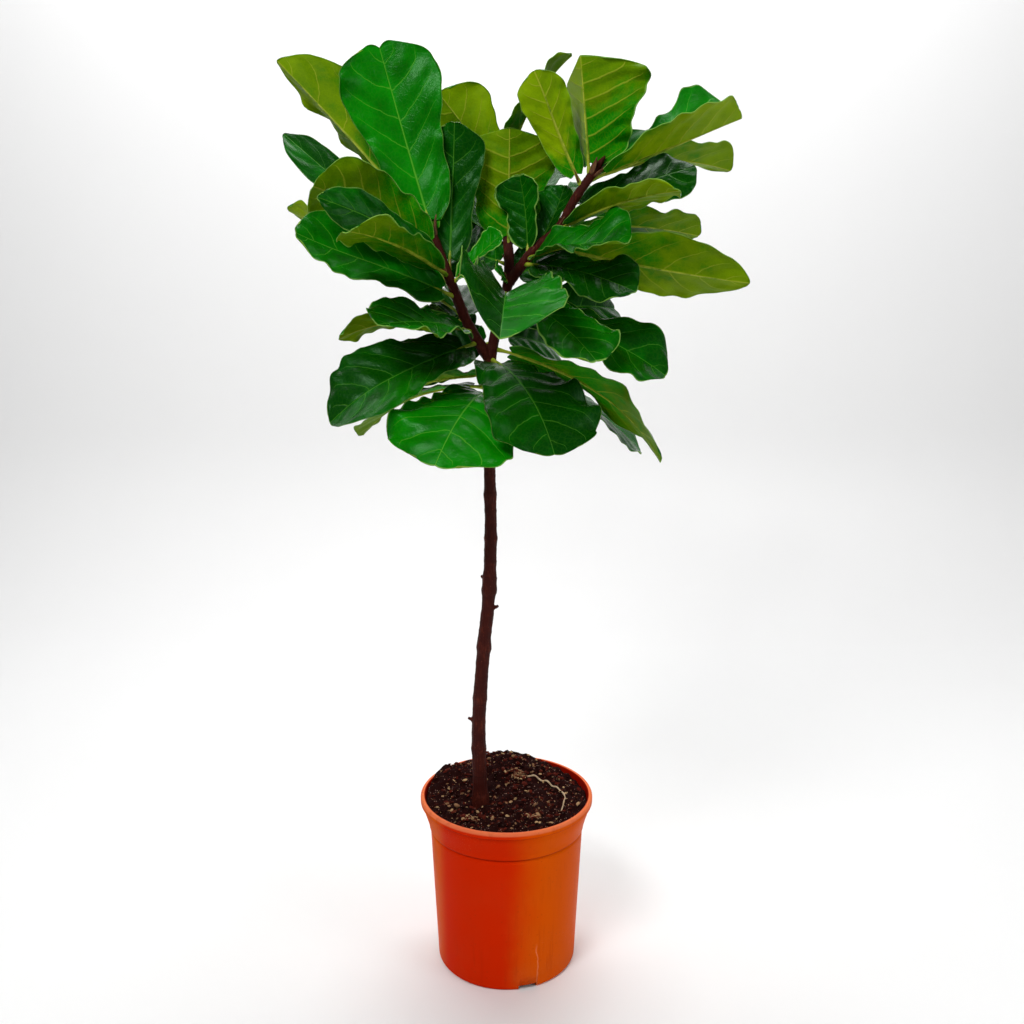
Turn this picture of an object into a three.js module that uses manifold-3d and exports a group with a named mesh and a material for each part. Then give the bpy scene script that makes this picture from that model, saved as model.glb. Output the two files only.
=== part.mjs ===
// A potted fiddle leaf fig grown as a small standard tree: a plastic nursery pot, the potting mix in it,
// one bare trunk that forks into three short branches, and the large leathery leaves on them.
// Millimetres, +Z up, with the origin in the middle of the pot's underside. The front is -Y.

import * as THREE from 'three';
import { mergeVertices } from 'three/addons/utils/BufferGeometryUtils.js';
import Module from 'manifold-3d';

const wasm = await Module();
wasm.setup();

// ---------------------------------------------------------------------------------------------
// Driving dimensions
// ---------------------------------------------------------------------------------------------

const SEAT_GAP = 0.3;             // between two pieces that touch

const POT_RIM_RADIUS = 120;       // a 24 cm pot
const POT_HEIGHT = 246;
const POT_WALL = 3;
const POT_FOOT_ROUND = 5;         // radius of the corner at the foot
// The outside of the wall as [height, radius]: a plain taper, the step line, and the flared collar.
const POT_OUTSIDE = [[5, 97.5], [199, 106.6], [200.6, 108], [208, 109.3], [217, 112], [227, 115.2], [236.5, 117.2]];
const POT_SEGMENTS = 40;
const DRAIN_SLOTS = 3;
const DRAIN_SLOT_SIZE = { radial: 15, width: 26, height: 7 };
const DRAIN_SLOT_TURN = -1.267;   // where the first slot lies, radians

const SOIL_EDGE_HEIGHT = 238;     // where the mix meets the pot's wall
const SOIL_HEAPS = [              // heaped against the back and the left of the rim
  { x: 0, y: 95, height: 20, spread: 60 },
  { x: -88, y: 52, height: 16, spread: 36 },
];
const SOIL_LUMP = 2.2;            // height of the surface's lumps
const SOIL_RINGS = 6;
const SOIL_SEGMENTS = 32;

const TRUNK_SIDES = 10;
const BRANCH_SIDES = 8;
const TRUNK_RINGS = 33;
const BRANCH_RINGS = 11;
const BUD_LENGTH = 26;

const LEAF_THICKNESS = 1.1;
const RIB_DEPTH = 2.4;            // how far the midrib stands out under the leaf, at its base
const PETIOLE_RADIUS = 2.4;
const PETIOLE_LENGTH = 27;        // the longest leaf stalk
const PETIOLE_SHARE = 0.13;       // a short leaf's stalk, as a share of the leaf

// Stems, as the points that their centre lines pass through. Each radius goes from root to tip.
const STEMS = {
  trunk: {
    points: [[-36, -18, 130], [-36, -18, 232], [-38, -14, 350], [-30, -8, 470], [-24, -4, 530],
      [-21, 0, 620], [-22, 0, 700], [-20, 0, 850], [3, 8, 955], [-3, 45, 1034]],
    radii: [10.5, 6],
  },
  left: {
    points: [[-20, 0, 845], [-49, -6, 893], [-62, -10, 925], [-92, -15, 1004]],
    radii: [7.5, 5.5],
  },
  right: {
    points: [[3, 6, 945], [35, -5, 985], [65, -12, 1011], [84, -18, 1045], [106, -20, 1076]],
    radii: [6.8, 5.2],
  },
};

// Swollen old leaf nodes on the bare trunk: height, and how far they stand out.
const TRUNK_KNOTS = [[318, 0.9], [392, 0.7], [463, 1.4], [541, 2.2], [556, 1.6], [612, 0.8], [668, 1.0]];

// Stubs of cut twigs: height on the trunk, compass angle in degrees, length.
const TWIG_STUBS = [[354, 170, 9], [462, 60, 8], [513, -20, 10], [552, 150, 7]];

// The leaves. Each row gives the leaf's name, the stem it grows on and the height of its node there, the
// place of its tip, the way its upper face looks, the width of its blade, how far its midrib bows towards
// the upper face (as a share of the length), how far the left and right halves fold up from the midrib in
// degrees, how far the blade cups, the height of its waved edge, where the waves start, and how far its
// tip curls towards the upper face. Three more may follow: how far the blade twists by its tip in degrees,
// how far it narrows towards the tip, and how deep the notch in its tip is (as a share of the length).
const LEAVES = [
  ['leaf_left_01', 'left', 988, [-297, 60, 1220], [0.45, 0.77, 0.45], 140, 0.04, 36, 36, 0.1, 5, 0.1, 0.02, 0, 0.5, 0],
  ['leaf_left_02', 'left', 998, [-158, 10, 1236], [0.1, -1, 0.15], 126, -0.04, 8, 8, 0.1, 5, 0.3, 0, 0, 0, 0.05],
  ['leaf_left_03', 'left', 978, [-228, -80, 1056], [0.15, 0.9, 0.45], 120, 0.08, 8, 8, 0, 5, 0.2, 0, 0, 0.2, 0.01],
  ['leaf_left_04', 'left', 952, [-64, 12, 1142], [0, -1, 0.3], 80, -0.05, -5, 5, 0, 4, 0.5, 0.02, 15, 0, 0.02],
  ['leaf_left_05', 'left', 940, [-303, 145, 1142], [0.15, -1, 0.3], 52, 0.02, 5, 5, 0, 3, 0.6, 0, 0, 0.1, 0],
  ['leaf_left_06', 'left', 919, [-242, 196, 1110], [0.2, 0.3, 1], 72, 0.02, 10, 10, 0, 4, 0.6, 0, 20, 0, 0.02],
  ['leaf_left_07', 'left', 900, [-288, 60, 1038], [0, 0.6, 1], 85, 0.04, 10, 10, 0, 5, 0.2, 0, 15, 0.1, 0.02],
  ['leaf_left_08', 'left', 971, [-215, -125, 1040], [0.3, -0.85, 0.45], 54, 0.06, -10, 20, 0, 3, 0.2, 0, 0, 0.2, 0],
  ['leaf_left_09', 'left', 926, [-254, -114, 998], [0, -0.85, 0.55], 102, 0.03, 15, 5, 0.1, 4, 0.2, 0.05, -10, 0.1, 0.02],
  ['leaf_left_10', 'left', 952, [-172, -194, 1000], [0, 0.65, 0.75], 70, 0.05, 10, 10, 0, 4, 0.4, 0],
  ['leaf_left_11', 'left', 942, [-4, -32, 1004], [-0.5, -0.6, 0.6], 42, 0.02, 20, 20, 0, 3, 0.4, 0],
  ['leaf_left_12', 'left', 882, [-147, -150, 898], [0, -0.7, 0.7], 100, 0.05, 10, 10, 0, 5, 0.4, 0, -15, 0, 0],
  ['leaf_left_13', 'left', 896, [-212, -40, 882], [0.2, 0.7, 0.7], 56, 0.06, 10, 10, 0, 3, 0.4, -0.05, 15, 0.2, 0],
  ['leaf_low_01', 'left', 870, [-214, -120, 791], [0.2, -0.75, 0.65], 148, 0.06, 30, -5, 0, 6, 0.4, -0.1, -10, 0.4, 0],
  ['leaf_low_02', 'trunk', 805, [-82, -190, 746], [0.1, -0.6, 0.8], 158, 0.12, 5, -8, 0, 6, 0.3, -0.05, 0, 0, 0.02],
  ['leaf_low_03', 'trunk', 848, [58, -170, 752], [0.3, -0.7, 0.7], 154, 0.1, 5, 5, 0, 6, 0.1, -0.03, 0, 0.1, 0.02],
  ['leaf_low_04', 'trunk', 812, [-199, 60, 738], [-0.3, 0, 1], 80, 0.12, 10, 10, 0, 4, 0.4, 0],
  ['leaf_low_05', 'trunk', 862, [202, -55, 730], [0.5, 0.5, 0.7], 96, 0.1, 5, 5, 0, 6, 0.4, -0.04, -10, 0.1, 0],
  ['leaf_low_06', 'trunk', 830, [184, 65, 716], [0.2, -0.4, 1], 90, 0.1, 5, 5, 0, 5, 0.4, 0, 0, 0.2, 0],
  ['leaf_low_07', 'trunk', 828, [-152, -50, 806], [0, 0.4, 1], 72, 0.05, 10, 10, 0, 4, 0.1, 0, 0, 0.1, 0],
  ['leaf_right_01', 'trunk', 920, [106, -150, 853], [0.2, -0.6, 0.8], 105, 0.1, 10, 10, 0, 5, 0.4, 0, 10, 0, 0.03],
  ['leaf_right_02', 'trunk', 902, [196, -72, 832], [0.2, -0.6, 0.9], 112, 0.1, 10, 10, 0, 5, 0.6, 0, 0, 0, 0.01],
  ['leaf_right_03', 'right', 967, [153, -96, 934], [0, -0.62, 0.78], 88, 0.06, 5, 4, 0, 5, 0.6, 0, 0, 0.1, 0],
  ['leaf_right_04', 'right', 973, [143, -110, 990], [0, -0.8, 0.6], 98, 0.06, 5, 40, 0, 5, 0.6, 0, 0, 0, 0.01],
  ['leaf_right_05', 'right', 1006, [194, -140, 1046], [0, 0.4, 1], 66, 0.05, 10, 10, 0, 4, 0.6, 0, 8, 0.2, 0],
  ['leaf_right_06', 'right', 1028, [236, 10, 1086], [0, -0.85, 0.55], 80, 0.04, -15, 5, 0, 4, 0.6, 0, 0, 0.1, 0],
  ['leaf_right_07', 'right', 1066, [289, 0, 1142], [-0.3, 0.1, 0.95], 134, 0, 62, 24, 0, 5, 0.6, 0, 0, 0, 0],
  ['leaf_right_08', 'right', 1065, [314, 175, 1096], [0, 0.35, 1], 80, 0.07, 15, 30, 0, 5, 0.6, 0, 0, 0, 0.01],
  ['leaf_right_09', 'right', 1006, [266, 125, 1006], [0, 0.6, 0.85], 72, 0.05, 15, 15, 0, 4, 0.6, 0, 0, 0, 0.02],
  ['leaf_right_10', 'right', 992, [306, -10, 944], [0, 0.85, 0.5], 118, -0.03, 22, 0, 0, 5, 0.6, 0, 0, 0.62, 0],
  ['leaf_right_11', 'right', 1070, [88, -30, 1212], [0, 1, 0.1], 168, 0.03, 5, 80, 0, 5, 0.6, 0.05, 0, 0, 0],
  ['leaf_right_12', 'right', 1058, [34, -50, 1194], [-0.3, 0.9, 0.3], 66, 0.08, 10, 10, 0, 4, 0.6, 0.1, 0, 0.1, 0.01],
  ['leaf_right_13', 'right', 976, [16, 0, 1078], [-0.6, -0.8, 0], 72, -0.05, 25, 25, 0, 2, 0.6, 0],
  ['leaf_right_14', 'right', 990, [74, 16, 1065], [-0.6, -0.8, 0], 55, -0.05, 25, 25, 0, 2, 0.6, 0],
  ['leaf_middle_01', 'trunk', 985, [4, 12, 1134], [0, 1, 0.2], 128, 0.02, 10, 10, 0, 5, 0.6, 0.03, 0, 0, 0],
  ['leaf_middle_02', 'trunk', 1024, [84, 52, 1226], [-0.8, 0.1, 0.5], 78, 0.12, 15, 15, 0, 4, 0.6, 0, 0, 0, 0.01],
  ['leaf_middle_03', 'trunk', 1045, [-92, 122, 1192], [0, 0.8, 0.6], 102, 0.12, 10, 10, 0, 5, 0.6, 0, 0, 0, 0.02],
  ['leaf_middle_04', 'trunk', 930, [-8, -190, 882], [0.1, -0.5, 0.87], 156, 0.09, 30, 42, 0.16, 6, 0.1, 0, 6, 0, 0.02],
  ['leaf_middle_05', 'trunk', 944, [-14, -34, 966], [0.8, -0.3, 0.3], 22, 0, 10, 10, 0, 1, 0.6, 0],
  ['leaf_back_01', 'left', 878, [-156, 175, 898], [0, -0.3, 1], 105, 0.06, 10, 10, 0, 4, 0.1, -0.04],
  ['leaf_back_02', 'left', 893, [-118, 205, 928], [0, 0, 1], 110, 0.08, 10, 10, 0, 4, 0.5, 0],
  ['leaf_back_03', 'trunk', 868, [-98, 112, 838], [0.1, -0.9, 0.4], 100, 0.08, 8, 8, 0, 5, 0.5, -0.04],
  ['leaf_back_04', 'trunk', 879, [80, 132, 842], [0, -0.9, 0.45], 112, 0.08, 8, 8, 0, 5, 0.2, -0.04],
  ['leaf_back_05', 'trunk', 948, [96, 100, 988], [0, -0.95, 0.3], 98, 0.04, 8, 8, 0, 5, 0.2, 0],
  ['leaf_back_06', 'right', 988, [190, 140, 962], [0, 0, 1], 110, 0.1, 8, 8, 0, 4, 0.2, 0],
  ['leaf_back_07', 'right', 1030, [160, 165, 1064], [0, 0, 1], 105, 0.08, 8, 8, 0, 4, 0.2, 0],
  ['leaf_back_08', 'trunk', 997, [-75, 200, 1092], [0, -0.3, 1], 115, 0.04, 12, 12, 0, 4, 0.2, 0],
  ['leaf_back_09', 'trunk', 1004, [80, 190, 1126], [0, -0.3, 1], 95, 0.04, 12, 12, 0, 4, 0.7, 0],
  ['leaf_back_10', 'trunk', 900, [152, 122, 908], [0, -0.9, 0.45], 92, 0.08, 8, 8, 0, 5, 0.7, 0],
  ['leaf_back_11', 'trunk', 966, [-80, 112, 986], [0, -0.95, 0.3], 94, 0.08, 8, 8, 0, 4, 0.7, 0],
];

// Half width of a blade against the place along it, each as a share of its largest.
const BLADE_OUTLINE = [[0, 0.24], [0.05, 0.46], [0.12, 0.6], [0.22, 0.66], [0.34, 0.67], [0.46, 0.74],
  [0.58, 0.88], [0.7, 0.98], [0.8, 1], [0.88, 0.92], [0.94, 0.76], [0.98, 0.54], [1, 0.34]];
const BLADE_PLACES = [0, 0.09, 0.23, 0.38, 0.53, 0.68, 0.82, 0.93, 1];
const BLADE_COLUMNS = [-1, -0.5, 0, 0.5, 1];
const STALK_PLACES = [0, 0.4, 0.7];  // along the stalk; the blade's ears reach back past its end

// ---------------------------------------------------------------------------------------------
// Small helpers
// ---------------------------------------------------------------------------------------------

const vector = (values) => new THREE.Vector3(...values);
const radians = THREE.MathUtils.degToRad;

/** Reads a list of [place, value] pairs as one broken line. */
function readOff(pairs, place) {
  let low = pairs[0];
  for (const high of pairs) {
    if (place <= high[0]) {
      const share = high[0] > low[0] ? (place - low[0]) / (high[0] - low[0]) : 0;
      return low[1] + (high[1] - low[1]) * share;
    }
    low = high;
  }
  return low[1];
}

/**
 * A closed solid lofted through rings of equal, even length, and capped straight across at both ends.
 * The quads of the columns that are turned are split along their other diagonal.
 */
function loft(rings, turned = () => false) {
  const count = rings[0].length;
  const positions = rings.flat().flatMap((point) => [point.x, point.y, point.z]);
  const index = [];
  for (let i = 0; i + 1 < rings.length; i += 1) {
    for (let k = 0; k < count; k += 1) {
      const a = i * count + k;
      const b = i * count + (k + 1) % count;
      if (turned(k)) index.push(a, b, a + count, b, b + count, a + count);
      else index.push(a, b, b + count, a, b + count, a + count);
    }
  }
  const last = (rings.length - 1) * count;
  for (let a = 0; a + 1 < count / 2; a += 1) {
    const [b, c, d] = [a + 1, count - 2 - a, count - 1 - a];
    index.push(a, c, b, a, d, c);
    index.push(last + a, last + b, last + c, last + a, last + c, last + d);
  }
  const geometry = new THREE.BufferGeometry();
  geometry.setAttribute('position', new THREE.Float32BufferAttribute(positions, 3));
  geometry.setIndex(index);
  return geometry;
}

/** A geometry as a manifold solid, with only its positions kept. */
function toSolid(geometry) {
  const bare = new THREE.BufferGeometry();
  bare.setAttribute('position', geometry.getAttribute('position'));
  bare.setIndex(geometry.getIndex());
  const merged = mergeVertices(bare, 1e-4);
  return new wasm.Manifold(new wasm.Mesh({
    numProp: 3,
    vertProperties: new Float32Array(merged.getAttribute('position').array),
    triVerts: new Uint32Array(merged.getIndex().array),
  }));
}

/** A manifold solid as a geometry. */
function toGeometry(solid) {
  const mesh = solid.getMesh();
  const geometry = new THREE.BufferGeometry();
  geometry.setAttribute('position', new THREE.Float32BufferAttribute(mesh.vertProperties, 3));
  geometry.setIndex(Array.from(mesh.triVerts));
  return geometry;
}

/** A closed profile of [radius, height] points turned round the Z axis. */
function turned(profile, segments) {
  const points = profile.map(([radius, height]) => new THREE.Vector2(radius, height));
  const geometry = new THREE.LatheGeometry(points, segments);
  geometry.rotateX(Math.PI / 2);
  return geometry;
}

/** Points on a quarter circle, from one angle to another in degrees. */
function arc(centre, radius, from, to, steps) {
  return Array.from({ length: steps + 1 }, (_, i) => {
    const angle = radians(from + (to - from) * i / steps);
    return [centre[0] + radius * Math.cos(angle), centre[1] + radius * Math.sin(angle)];
  });
}

// ---------------------------------------------------------------------------------------------
// Pot and potting mix
// ---------------------------------------------------------------------------------------------

/** The nursery pot: a tapered wall, a step line, a flared collar, a thin rim and drain slots. */
function makePot() {
  const foot = POT_FOOT_ROUND;
  const corner = [POT_OUTSIDE[0][1] - foot, foot];
  const inside = POT_OUTSIDE.filter((_, i) => i !== 0 && i !== 2).reverse();
  const profile = [
    [0, 0],
    ...arc(corner, foot, -90, 0, 2),
    ...POT_OUTSIDE.slice(1).map(([height, radius]) => [radius, height]),
    [POT_RIM_RADIUS - 0.9, POT_HEIGHT - 8.6],
    [POT_RIM_RADIUS, POT_HEIGHT - 6],
    [POT_RIM_RADIUS - 0.3, POT_HEIGHT - 2],
    [POT_RIM_RADIUS - 2.5, POT_HEIGHT],
    [POT_RIM_RADIUS - 5.5, POT_HEIGHT - 0.8],
    ...inside.map(([height, radius]) => [radius - POT_WALL, height]),
    ...arc(corner, foot - POT_WALL, 0, -90, 1),
    [0, POT_WALL],
  ];
  let pot = toSolid(turned(profile, POT_SEGMENTS));
  for (let i = 0; i < DRAIN_SLOTS; i += 1) {
    pot = pot.subtract(toSolid(drainSlot(DRAIN_SLOT_TURN + i * 2 * Math.PI / DRAIN_SLOTS)));
  }
  return toGeometry(pot);
}

/** One slot at the edge of the pot's base, open below and outwards. */
function drainSlot(angle) {
  const { radial, width, height } = DRAIN_SLOT_SIZE;
  const slot = new THREE.BoxGeometry(radial, width, height * 2);
  slot.deleteAttribute('normal');
  slot.deleteAttribute('uv');
  slot.translate(POT_OUTSIDE[0][1] + 3 - radial / 2, 0, 0);
  slot.rotateZ(angle);
  return slot;
}

/** How high the potting mix lies at a place: lumpy, and heaped up behind the trunk. */
function soilHeight(x, y) {
  const heaps = SOIL_HEAPS.reduce((sum, spot) => {
    const distance = Math.hypot(x - spot.x, y - spot.y) / spot.spread;
    return sum + spot.height * Math.exp(-distance * distance);
  }, 0);
  const lumps = Math.sin(x * 0.21 + 1.3) * Math.cos(y * 0.19) + 0.6 * Math.sin(x * 0.11 - y * 0.33 + 0.7);
  return SOIL_EDGE_HEIGHT + heaps + SOIL_LUMP * lumps;
}

/** The potting mix: it fills the pot, and the trunk stands in a plain hole in it. */
function makeSoil(trunk) {
  const foot = POT_FOOT_ROUND;
  const gap = POT_WALL + SEAT_GAP;
  const ring = (radius, heightAt) => Array.from({ length: SOIL_SEGMENTS }, (_, k) => {
    const angle = 2 * Math.PI * k / SOIL_SEGMENTS;
    const x = radius * Math.cos(angle);
    const y = radius * Math.sin(angle);
    return new THREE.Vector3(x, y, heightAt(x, y));
  });
  const chord = 1 / Math.cos(Math.PI / POT_SEGMENTS);
  const wallRadius = (height) => (readOff(POT_OUTSIDE, height) - gap - 0.6) / chord;
  const rings = [];
  for (const [radius, height] of arc([POT_OUTSIDE[0][1] - foot, foot], foot - gap - 1, -80, 0, 1)) {
    rings.push(ring(radius / chord, () => height));
  }
  for (const height of [120, 199, 215, 227]) rings.push(ring(wallRadius(height), () => height));
  for (let i = SOIL_RINGS; i > 0; i -= 1) rings.push(ring(wallRadius(227) * i / SOIL_RINGS, soilHeight));
  return toGeometry(toSolid(loft(rings)).subtract(trunk));
}

// ---------------------------------------------------------------------------------------------
// Trunk and branches
// ---------------------------------------------------------------------------------------------

const STEM_CURVES = Object.fromEntries(Object.entries(STEMS).map(
  ([name, stem]) => [name, new THREE.CatmullRomCurve3(stem.points.map(vector), false, 'centripetal')],
));

/** The point of a stem's centre line at a height. */
function stemPoint(name, height) {
  const curve = STEM_CURVES[name];
  let low = 0;
  let high = 1;
  for (let i = 0; i < 30; i += 1) {
    const middle = (low + high) / 2;
    if (curve.getPoint(middle).z < height) low = middle;
    else high = middle;
  }
  return curve.getPoint(low);
}

/** The radius of a stem at a share of its length, with the trunk's knots and its flare at the soil. */
function stemRadius(name, share, height) {
  const [root, tip] = STEMS[name].radii;
  const plain = root + (tip - root) * share;
  if (name !== 'trunk') return plain;
  const knots = TRUNK_KNOTS.reduce((sum, [at, size]) => sum + size * Math.exp(-(((height - at) / 7) ** 2)), 0);
  const flare = 2.5 * Math.exp(-(((height - 234) / 22) ** 2));
  return plain + knots + flare;
}

/** One stem as a loft along its centre line, with a margin added all round. */
function stemLoft(name, sides, steps, margin) {
  const curve = STEM_CURVES[name];
  const frames = curve.computeFrenetFrames(steps, false);
  const rings = [];
  for (let i = 0; i <= steps; i += 1) {
    const centre = curve.getPointAt(i / steps);
    const radius = stemRadius(name, i / steps, centre.z) + margin;
    rings.push(ringAround(centre, frames.normals[i], frames.binormals[i], radius, sides));
  }
  const ahead = frames.tangents[steps];
  const tip = curve.getPointAt(1);
  for (const [share, narrow] of [[0.35, 0.85], [0.75, 0.5], [1, 0.15]]) {
    const centre = tip.clone().addScaledVector(ahead, BUD_LENGTH * share + margin);
    const radius = STEMS[name].radii[1] * narrow + margin;
    rings.push(ringAround(centre, frames.normals[steps], frames.binormals[steps], radius, sides));
  }
  return loft(rings);
}

/** A ring of points round a centre. */
function ringAround(centre, normal, binormal, radius, sides) {
  return Array.from({ length: sides }, (_, k) => {
    const angle = 2 * Math.PI * k / sides;
    return centre.clone()
      .addScaledVector(normal, radius * Math.cos(angle))
      .addScaledVector(binormal, radius * Math.sin(angle));
  });
}

/** The stub of a cut twig on the trunk. */
function twigStub([height, compass, length], margin) {
  const root = stemPoint('trunk', height);
  const angle = radians(compass);
  const way = new THREE.Vector3(Math.cos(angle), Math.sin(angle), 0.5).normalize();
  const side = new THREE.Vector3(-Math.sin(angle), Math.cos(angle), 0);
  const other = new THREE.Vector3().crossVectors(way, side);
  const reach = 8 + length + margin;
  const rings = [[0, 2.6], [reach * 0.6, 2.2], [reach, 1.4]].map(([along, radius]) => (
    ringAround(root.clone().addScaledVector(way, along), side, other, radius + margin, 6)
  ));
  return loft(rings);
}

/** The trunk with its branches, buds and twig stubs, grown as one piece. */
function trunkSolid(margin) {
  let solid = toSolid(stemLoft('trunk', TRUNK_SIDES, TRUNK_RINGS, margin));
  solid = solid.add(toSolid(stemLoft('left', BRANCH_SIDES, BRANCH_RINGS, margin)));
  solid = solid.add(toSolid(stemLoft('right', BRANCH_SIDES, BRANCH_RINGS, margin)));
  for (const stub of TWIG_STUBS) solid = solid.add(toSolid(twigStub(stub, margin)));
  return solid;
}

// ---------------------------------------------------------------------------------------------
// Leaves
// ---------------------------------------------------------------------------------------------

/** A leaf's root, forward, upward and sideways directions, its length and its row's values. */
function readLeaf([, stem, height, tip, face, width, bow, foldLeft, foldRight, cup, wave, phase, curl,
  twist = 0, taper = 0, notch = 0.03]) {
  const root = stemPoint(stem, height);
  const ahead = vector(tip).sub(root);
  const length = ahead.length();
  ahead.normalize();
  const up = vector(face);
  up.addScaledVector(ahead, -up.dot(ahead)).normalize();
  const side = new THREE.Vector3().crossVectors(ahead, up);
  const stalk = Math.min(PETIOLE_SHARE, PETIOLE_LENGTH / length);
  return {
    root, ahead, up, side, length, stalk, width, bow, foldLeft, foldRight, cup, wave, phase, curl, twist,
    taper, notch,
  };
}

/** A point of a leaf's midrib, from 0 at its root to 1 at its tip. */
function midribPoint(leaf, share) {
  const end = Math.max(0, (share - 0.62) / 0.38) ** 2;
  const along = leaf.length * (share - 0.3 * Math.abs(leaf.curl) * end);
  const lift = leaf.length * (4 * share * (1 - share) * leaf.bow + leaf.curl * end);
  return leaf.root.clone().addScaledVector(leaf.ahead, along).addScaledVector(leaf.up, lift);
}

/** The midrib's point, with the sideways and upward directions across the leaf there. */
function midribFrame(leaf, share) {
  const step = 0.01;
  const point = midribPoint(leaf, share);
  const ahead = midribPoint(leaf, share + step).sub(midribPoint(leaf, share - step)).normalize();
  const turn = radians(leaf.twist) * THREE.MathUtils.clamp((share - leaf.stalk) / (1 - leaf.stalk), 0, 1);
  const side = leaf.side.clone().multiplyScalar(Math.cos(turn)).addScaledVector(leaf.up, Math.sin(turn));
  side.addScaledVector(ahead, -side.dot(ahead)).normalize();
  const up = new THREE.Vector3().crossVectors(side, ahead);
  return { point, side, up };
}

/** A point in the middle of a blade's thickness, with the way that the upper face looks there. */
function bladePoint(leaf, place, column) {
  const out = Math.abs(column);
  const nearTip = Math.max(0, (place - 0.6) / 0.4) ** 2;
  const nearBase = Math.max(0, 1 - place / 0.3) ** 2;
  const shift = -nearTip * (leaf.notch * (1 - out) ** 2 + 0.045 * (1 - leaf.taper) * out ** 2)
    - 0.03 * nearBase * Math.sin(Math.PI / 2 * out);
  const frame = midribFrame(leaf, leaf.stalk + (1 - leaf.stalk) * (place + shift));
  const narrow = 1 - leaf.taper * Math.max(0, (place - 0.5) / 0.5) ** 1.3;
  const halfWidth = leaf.width / 2 * readOff(BLADE_OUTLINE, place) * narrow;
  const reach = out * halfWidth;
  const half = Math.sign(column);
  const fold = half === 0 ? 0 : radians(half > 0 ? leaf.foldRight : leaf.foldLeft);
  const phase = leaf.phase + (column > 0 ? 0 : 0.37);
  const waves = leaf.wave * out ** 1.6 * Math.sin(2 * Math.PI * (1.6 * place + phase))
    * Math.min(1, halfWidth / (0.35 * leaf.width));
  const lift = reach * Math.sin(fold) + leaf.cup * reach * reach / (leaf.width / 2) + waves;
  const point = frame.point.addScaledVector(frame.side, half * reach * Math.cos(fold));
  point.addScaledVector(frame.up, lift);
  const normal = frame.up.multiplyScalar(Math.cos(fold)).addScaledVector(frame.side, -half * Math.sin(fold));
  return { point, normal };
}

/** One ring of a blade: its upper face from left to right, then its underside back again. */
function bladeRing(leaf, place) {
  const points = BLADE_COLUMNS.map((column) => bladePoint(leaf, place, column));
  const half = LEAF_THICKNESS / 2;
  const upper = points.map(({ point, normal }) => point.clone().addScaledVector(normal, half));
  const lower = points.map(({ point, normal }, k) => {
    const rib = BLADE_COLUMNS[k] === 0 ? RIB_DEPTH * (1 - 0.6 * place) : 0;
    return point.clone().addScaledVector(normal, -half - rib);
  });
  return [...upper, ...lower.reverse()];
}

/** One ring of a leaf stalk, with as many points as a ring of the blade. */
function stalkRing(leaf, share) {
  const { point, side, up } = midribFrame(leaf, share);
  const count = 2 * BLADE_COLUMNS.length;
  return Array.from({ length: count }, (_, k) => {
    const angle = Math.PI - 2 * Math.PI * (k + 0.5) / count;
    return point.clone()
      .addScaledVector(side, PETIOLE_RADIUS * Math.cos(angle))
      .addScaledVector(up, PETIOLE_RADIUS * Math.sin(angle));
  });
}

/**
 * One leaf: its stalk starts in the stem and is cut back to the stem's surface. Every quad is split from
 * its inner, lower corner to its outer, upper one, alike on both faces of the blade's thin waved sheet.
 */
function makeLeaf(row, stems) {
  const leaf = readLeaf(row);
  const rings = STALK_PLACES.map((place) => stalkRing(leaf, place * leaf.stalk));
  for (const place of BLADE_PLACES) rings.push(bladeRing(leaf, place));
  const turned = (k) => k % BLADE_COLUMNS.length < 2;
  return toGeometry(toSolid(loft(rings, turned)).subtract(stems));
}

// ---------------------------------------------------------------------------------------------
// Assembly
// ---------------------------------------------------------------------------------------------

const plant = new THREE.Group();

/** Adds one named piece with a material of its own. */
function addPiece(name, geometry, colour, roughness) {
  const mesh = new THREE.Mesh(geometry, new THREE.MeshStandardMaterial({
    color: colour,
    roughness,
    metalness: 0,
  }));
  mesh.name = name;
  plant.add(mesh);
}

const stemsWithGap = trunkSolid(SEAT_GAP);
addPiece('pot', makePot(), 0xd2541e, 0.45);
addPiece('soil', makeSoil(stemsWithGap), 0x3a2418, 0.95);
addPiece('trunk', toGeometry(trunkSolid(0)), 0x4a2018, 0.8);
for (const row of LEAVES) {
  addPiece(row[0], makeLeaf(row, stemsWithGap), 0x1f8a24, 0.35);
}

export default plant;
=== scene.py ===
"""A potted fiddle leaf fig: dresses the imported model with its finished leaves, bark, potting mix and pot."""

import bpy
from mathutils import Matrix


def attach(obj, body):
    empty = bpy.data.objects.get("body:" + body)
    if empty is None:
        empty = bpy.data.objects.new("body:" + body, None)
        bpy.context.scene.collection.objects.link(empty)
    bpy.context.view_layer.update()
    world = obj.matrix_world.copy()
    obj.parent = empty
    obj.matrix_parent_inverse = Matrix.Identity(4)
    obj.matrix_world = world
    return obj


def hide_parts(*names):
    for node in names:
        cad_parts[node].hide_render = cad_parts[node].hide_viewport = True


bl_info = {
    "name": "Potted Fiddle Leaf Fig",
    "version": (1, 0, 0),
    "blender": (4, 5, 0),
    "location": "View3D > Sidebar > Fig",
    "description": "Builds a potted fiddle leaf fig round its packed model",
    "category": "Add Mesh",
}

import math
import random

import bmesh
import bpy
import numpy as np
from mathutils import Vector, noise

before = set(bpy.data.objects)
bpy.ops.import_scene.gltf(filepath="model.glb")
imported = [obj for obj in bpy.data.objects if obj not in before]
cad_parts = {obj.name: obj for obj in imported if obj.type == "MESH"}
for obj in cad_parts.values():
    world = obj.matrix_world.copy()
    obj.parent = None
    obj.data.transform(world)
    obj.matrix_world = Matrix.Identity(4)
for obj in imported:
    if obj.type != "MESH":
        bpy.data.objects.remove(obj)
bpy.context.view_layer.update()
MM = 0.001

# ---------------------------------------------------------------------------------------------
# The plant's own sizes, in millimetres, as in the model's source
# ---------------------------------------------------------------------------------------------

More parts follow.
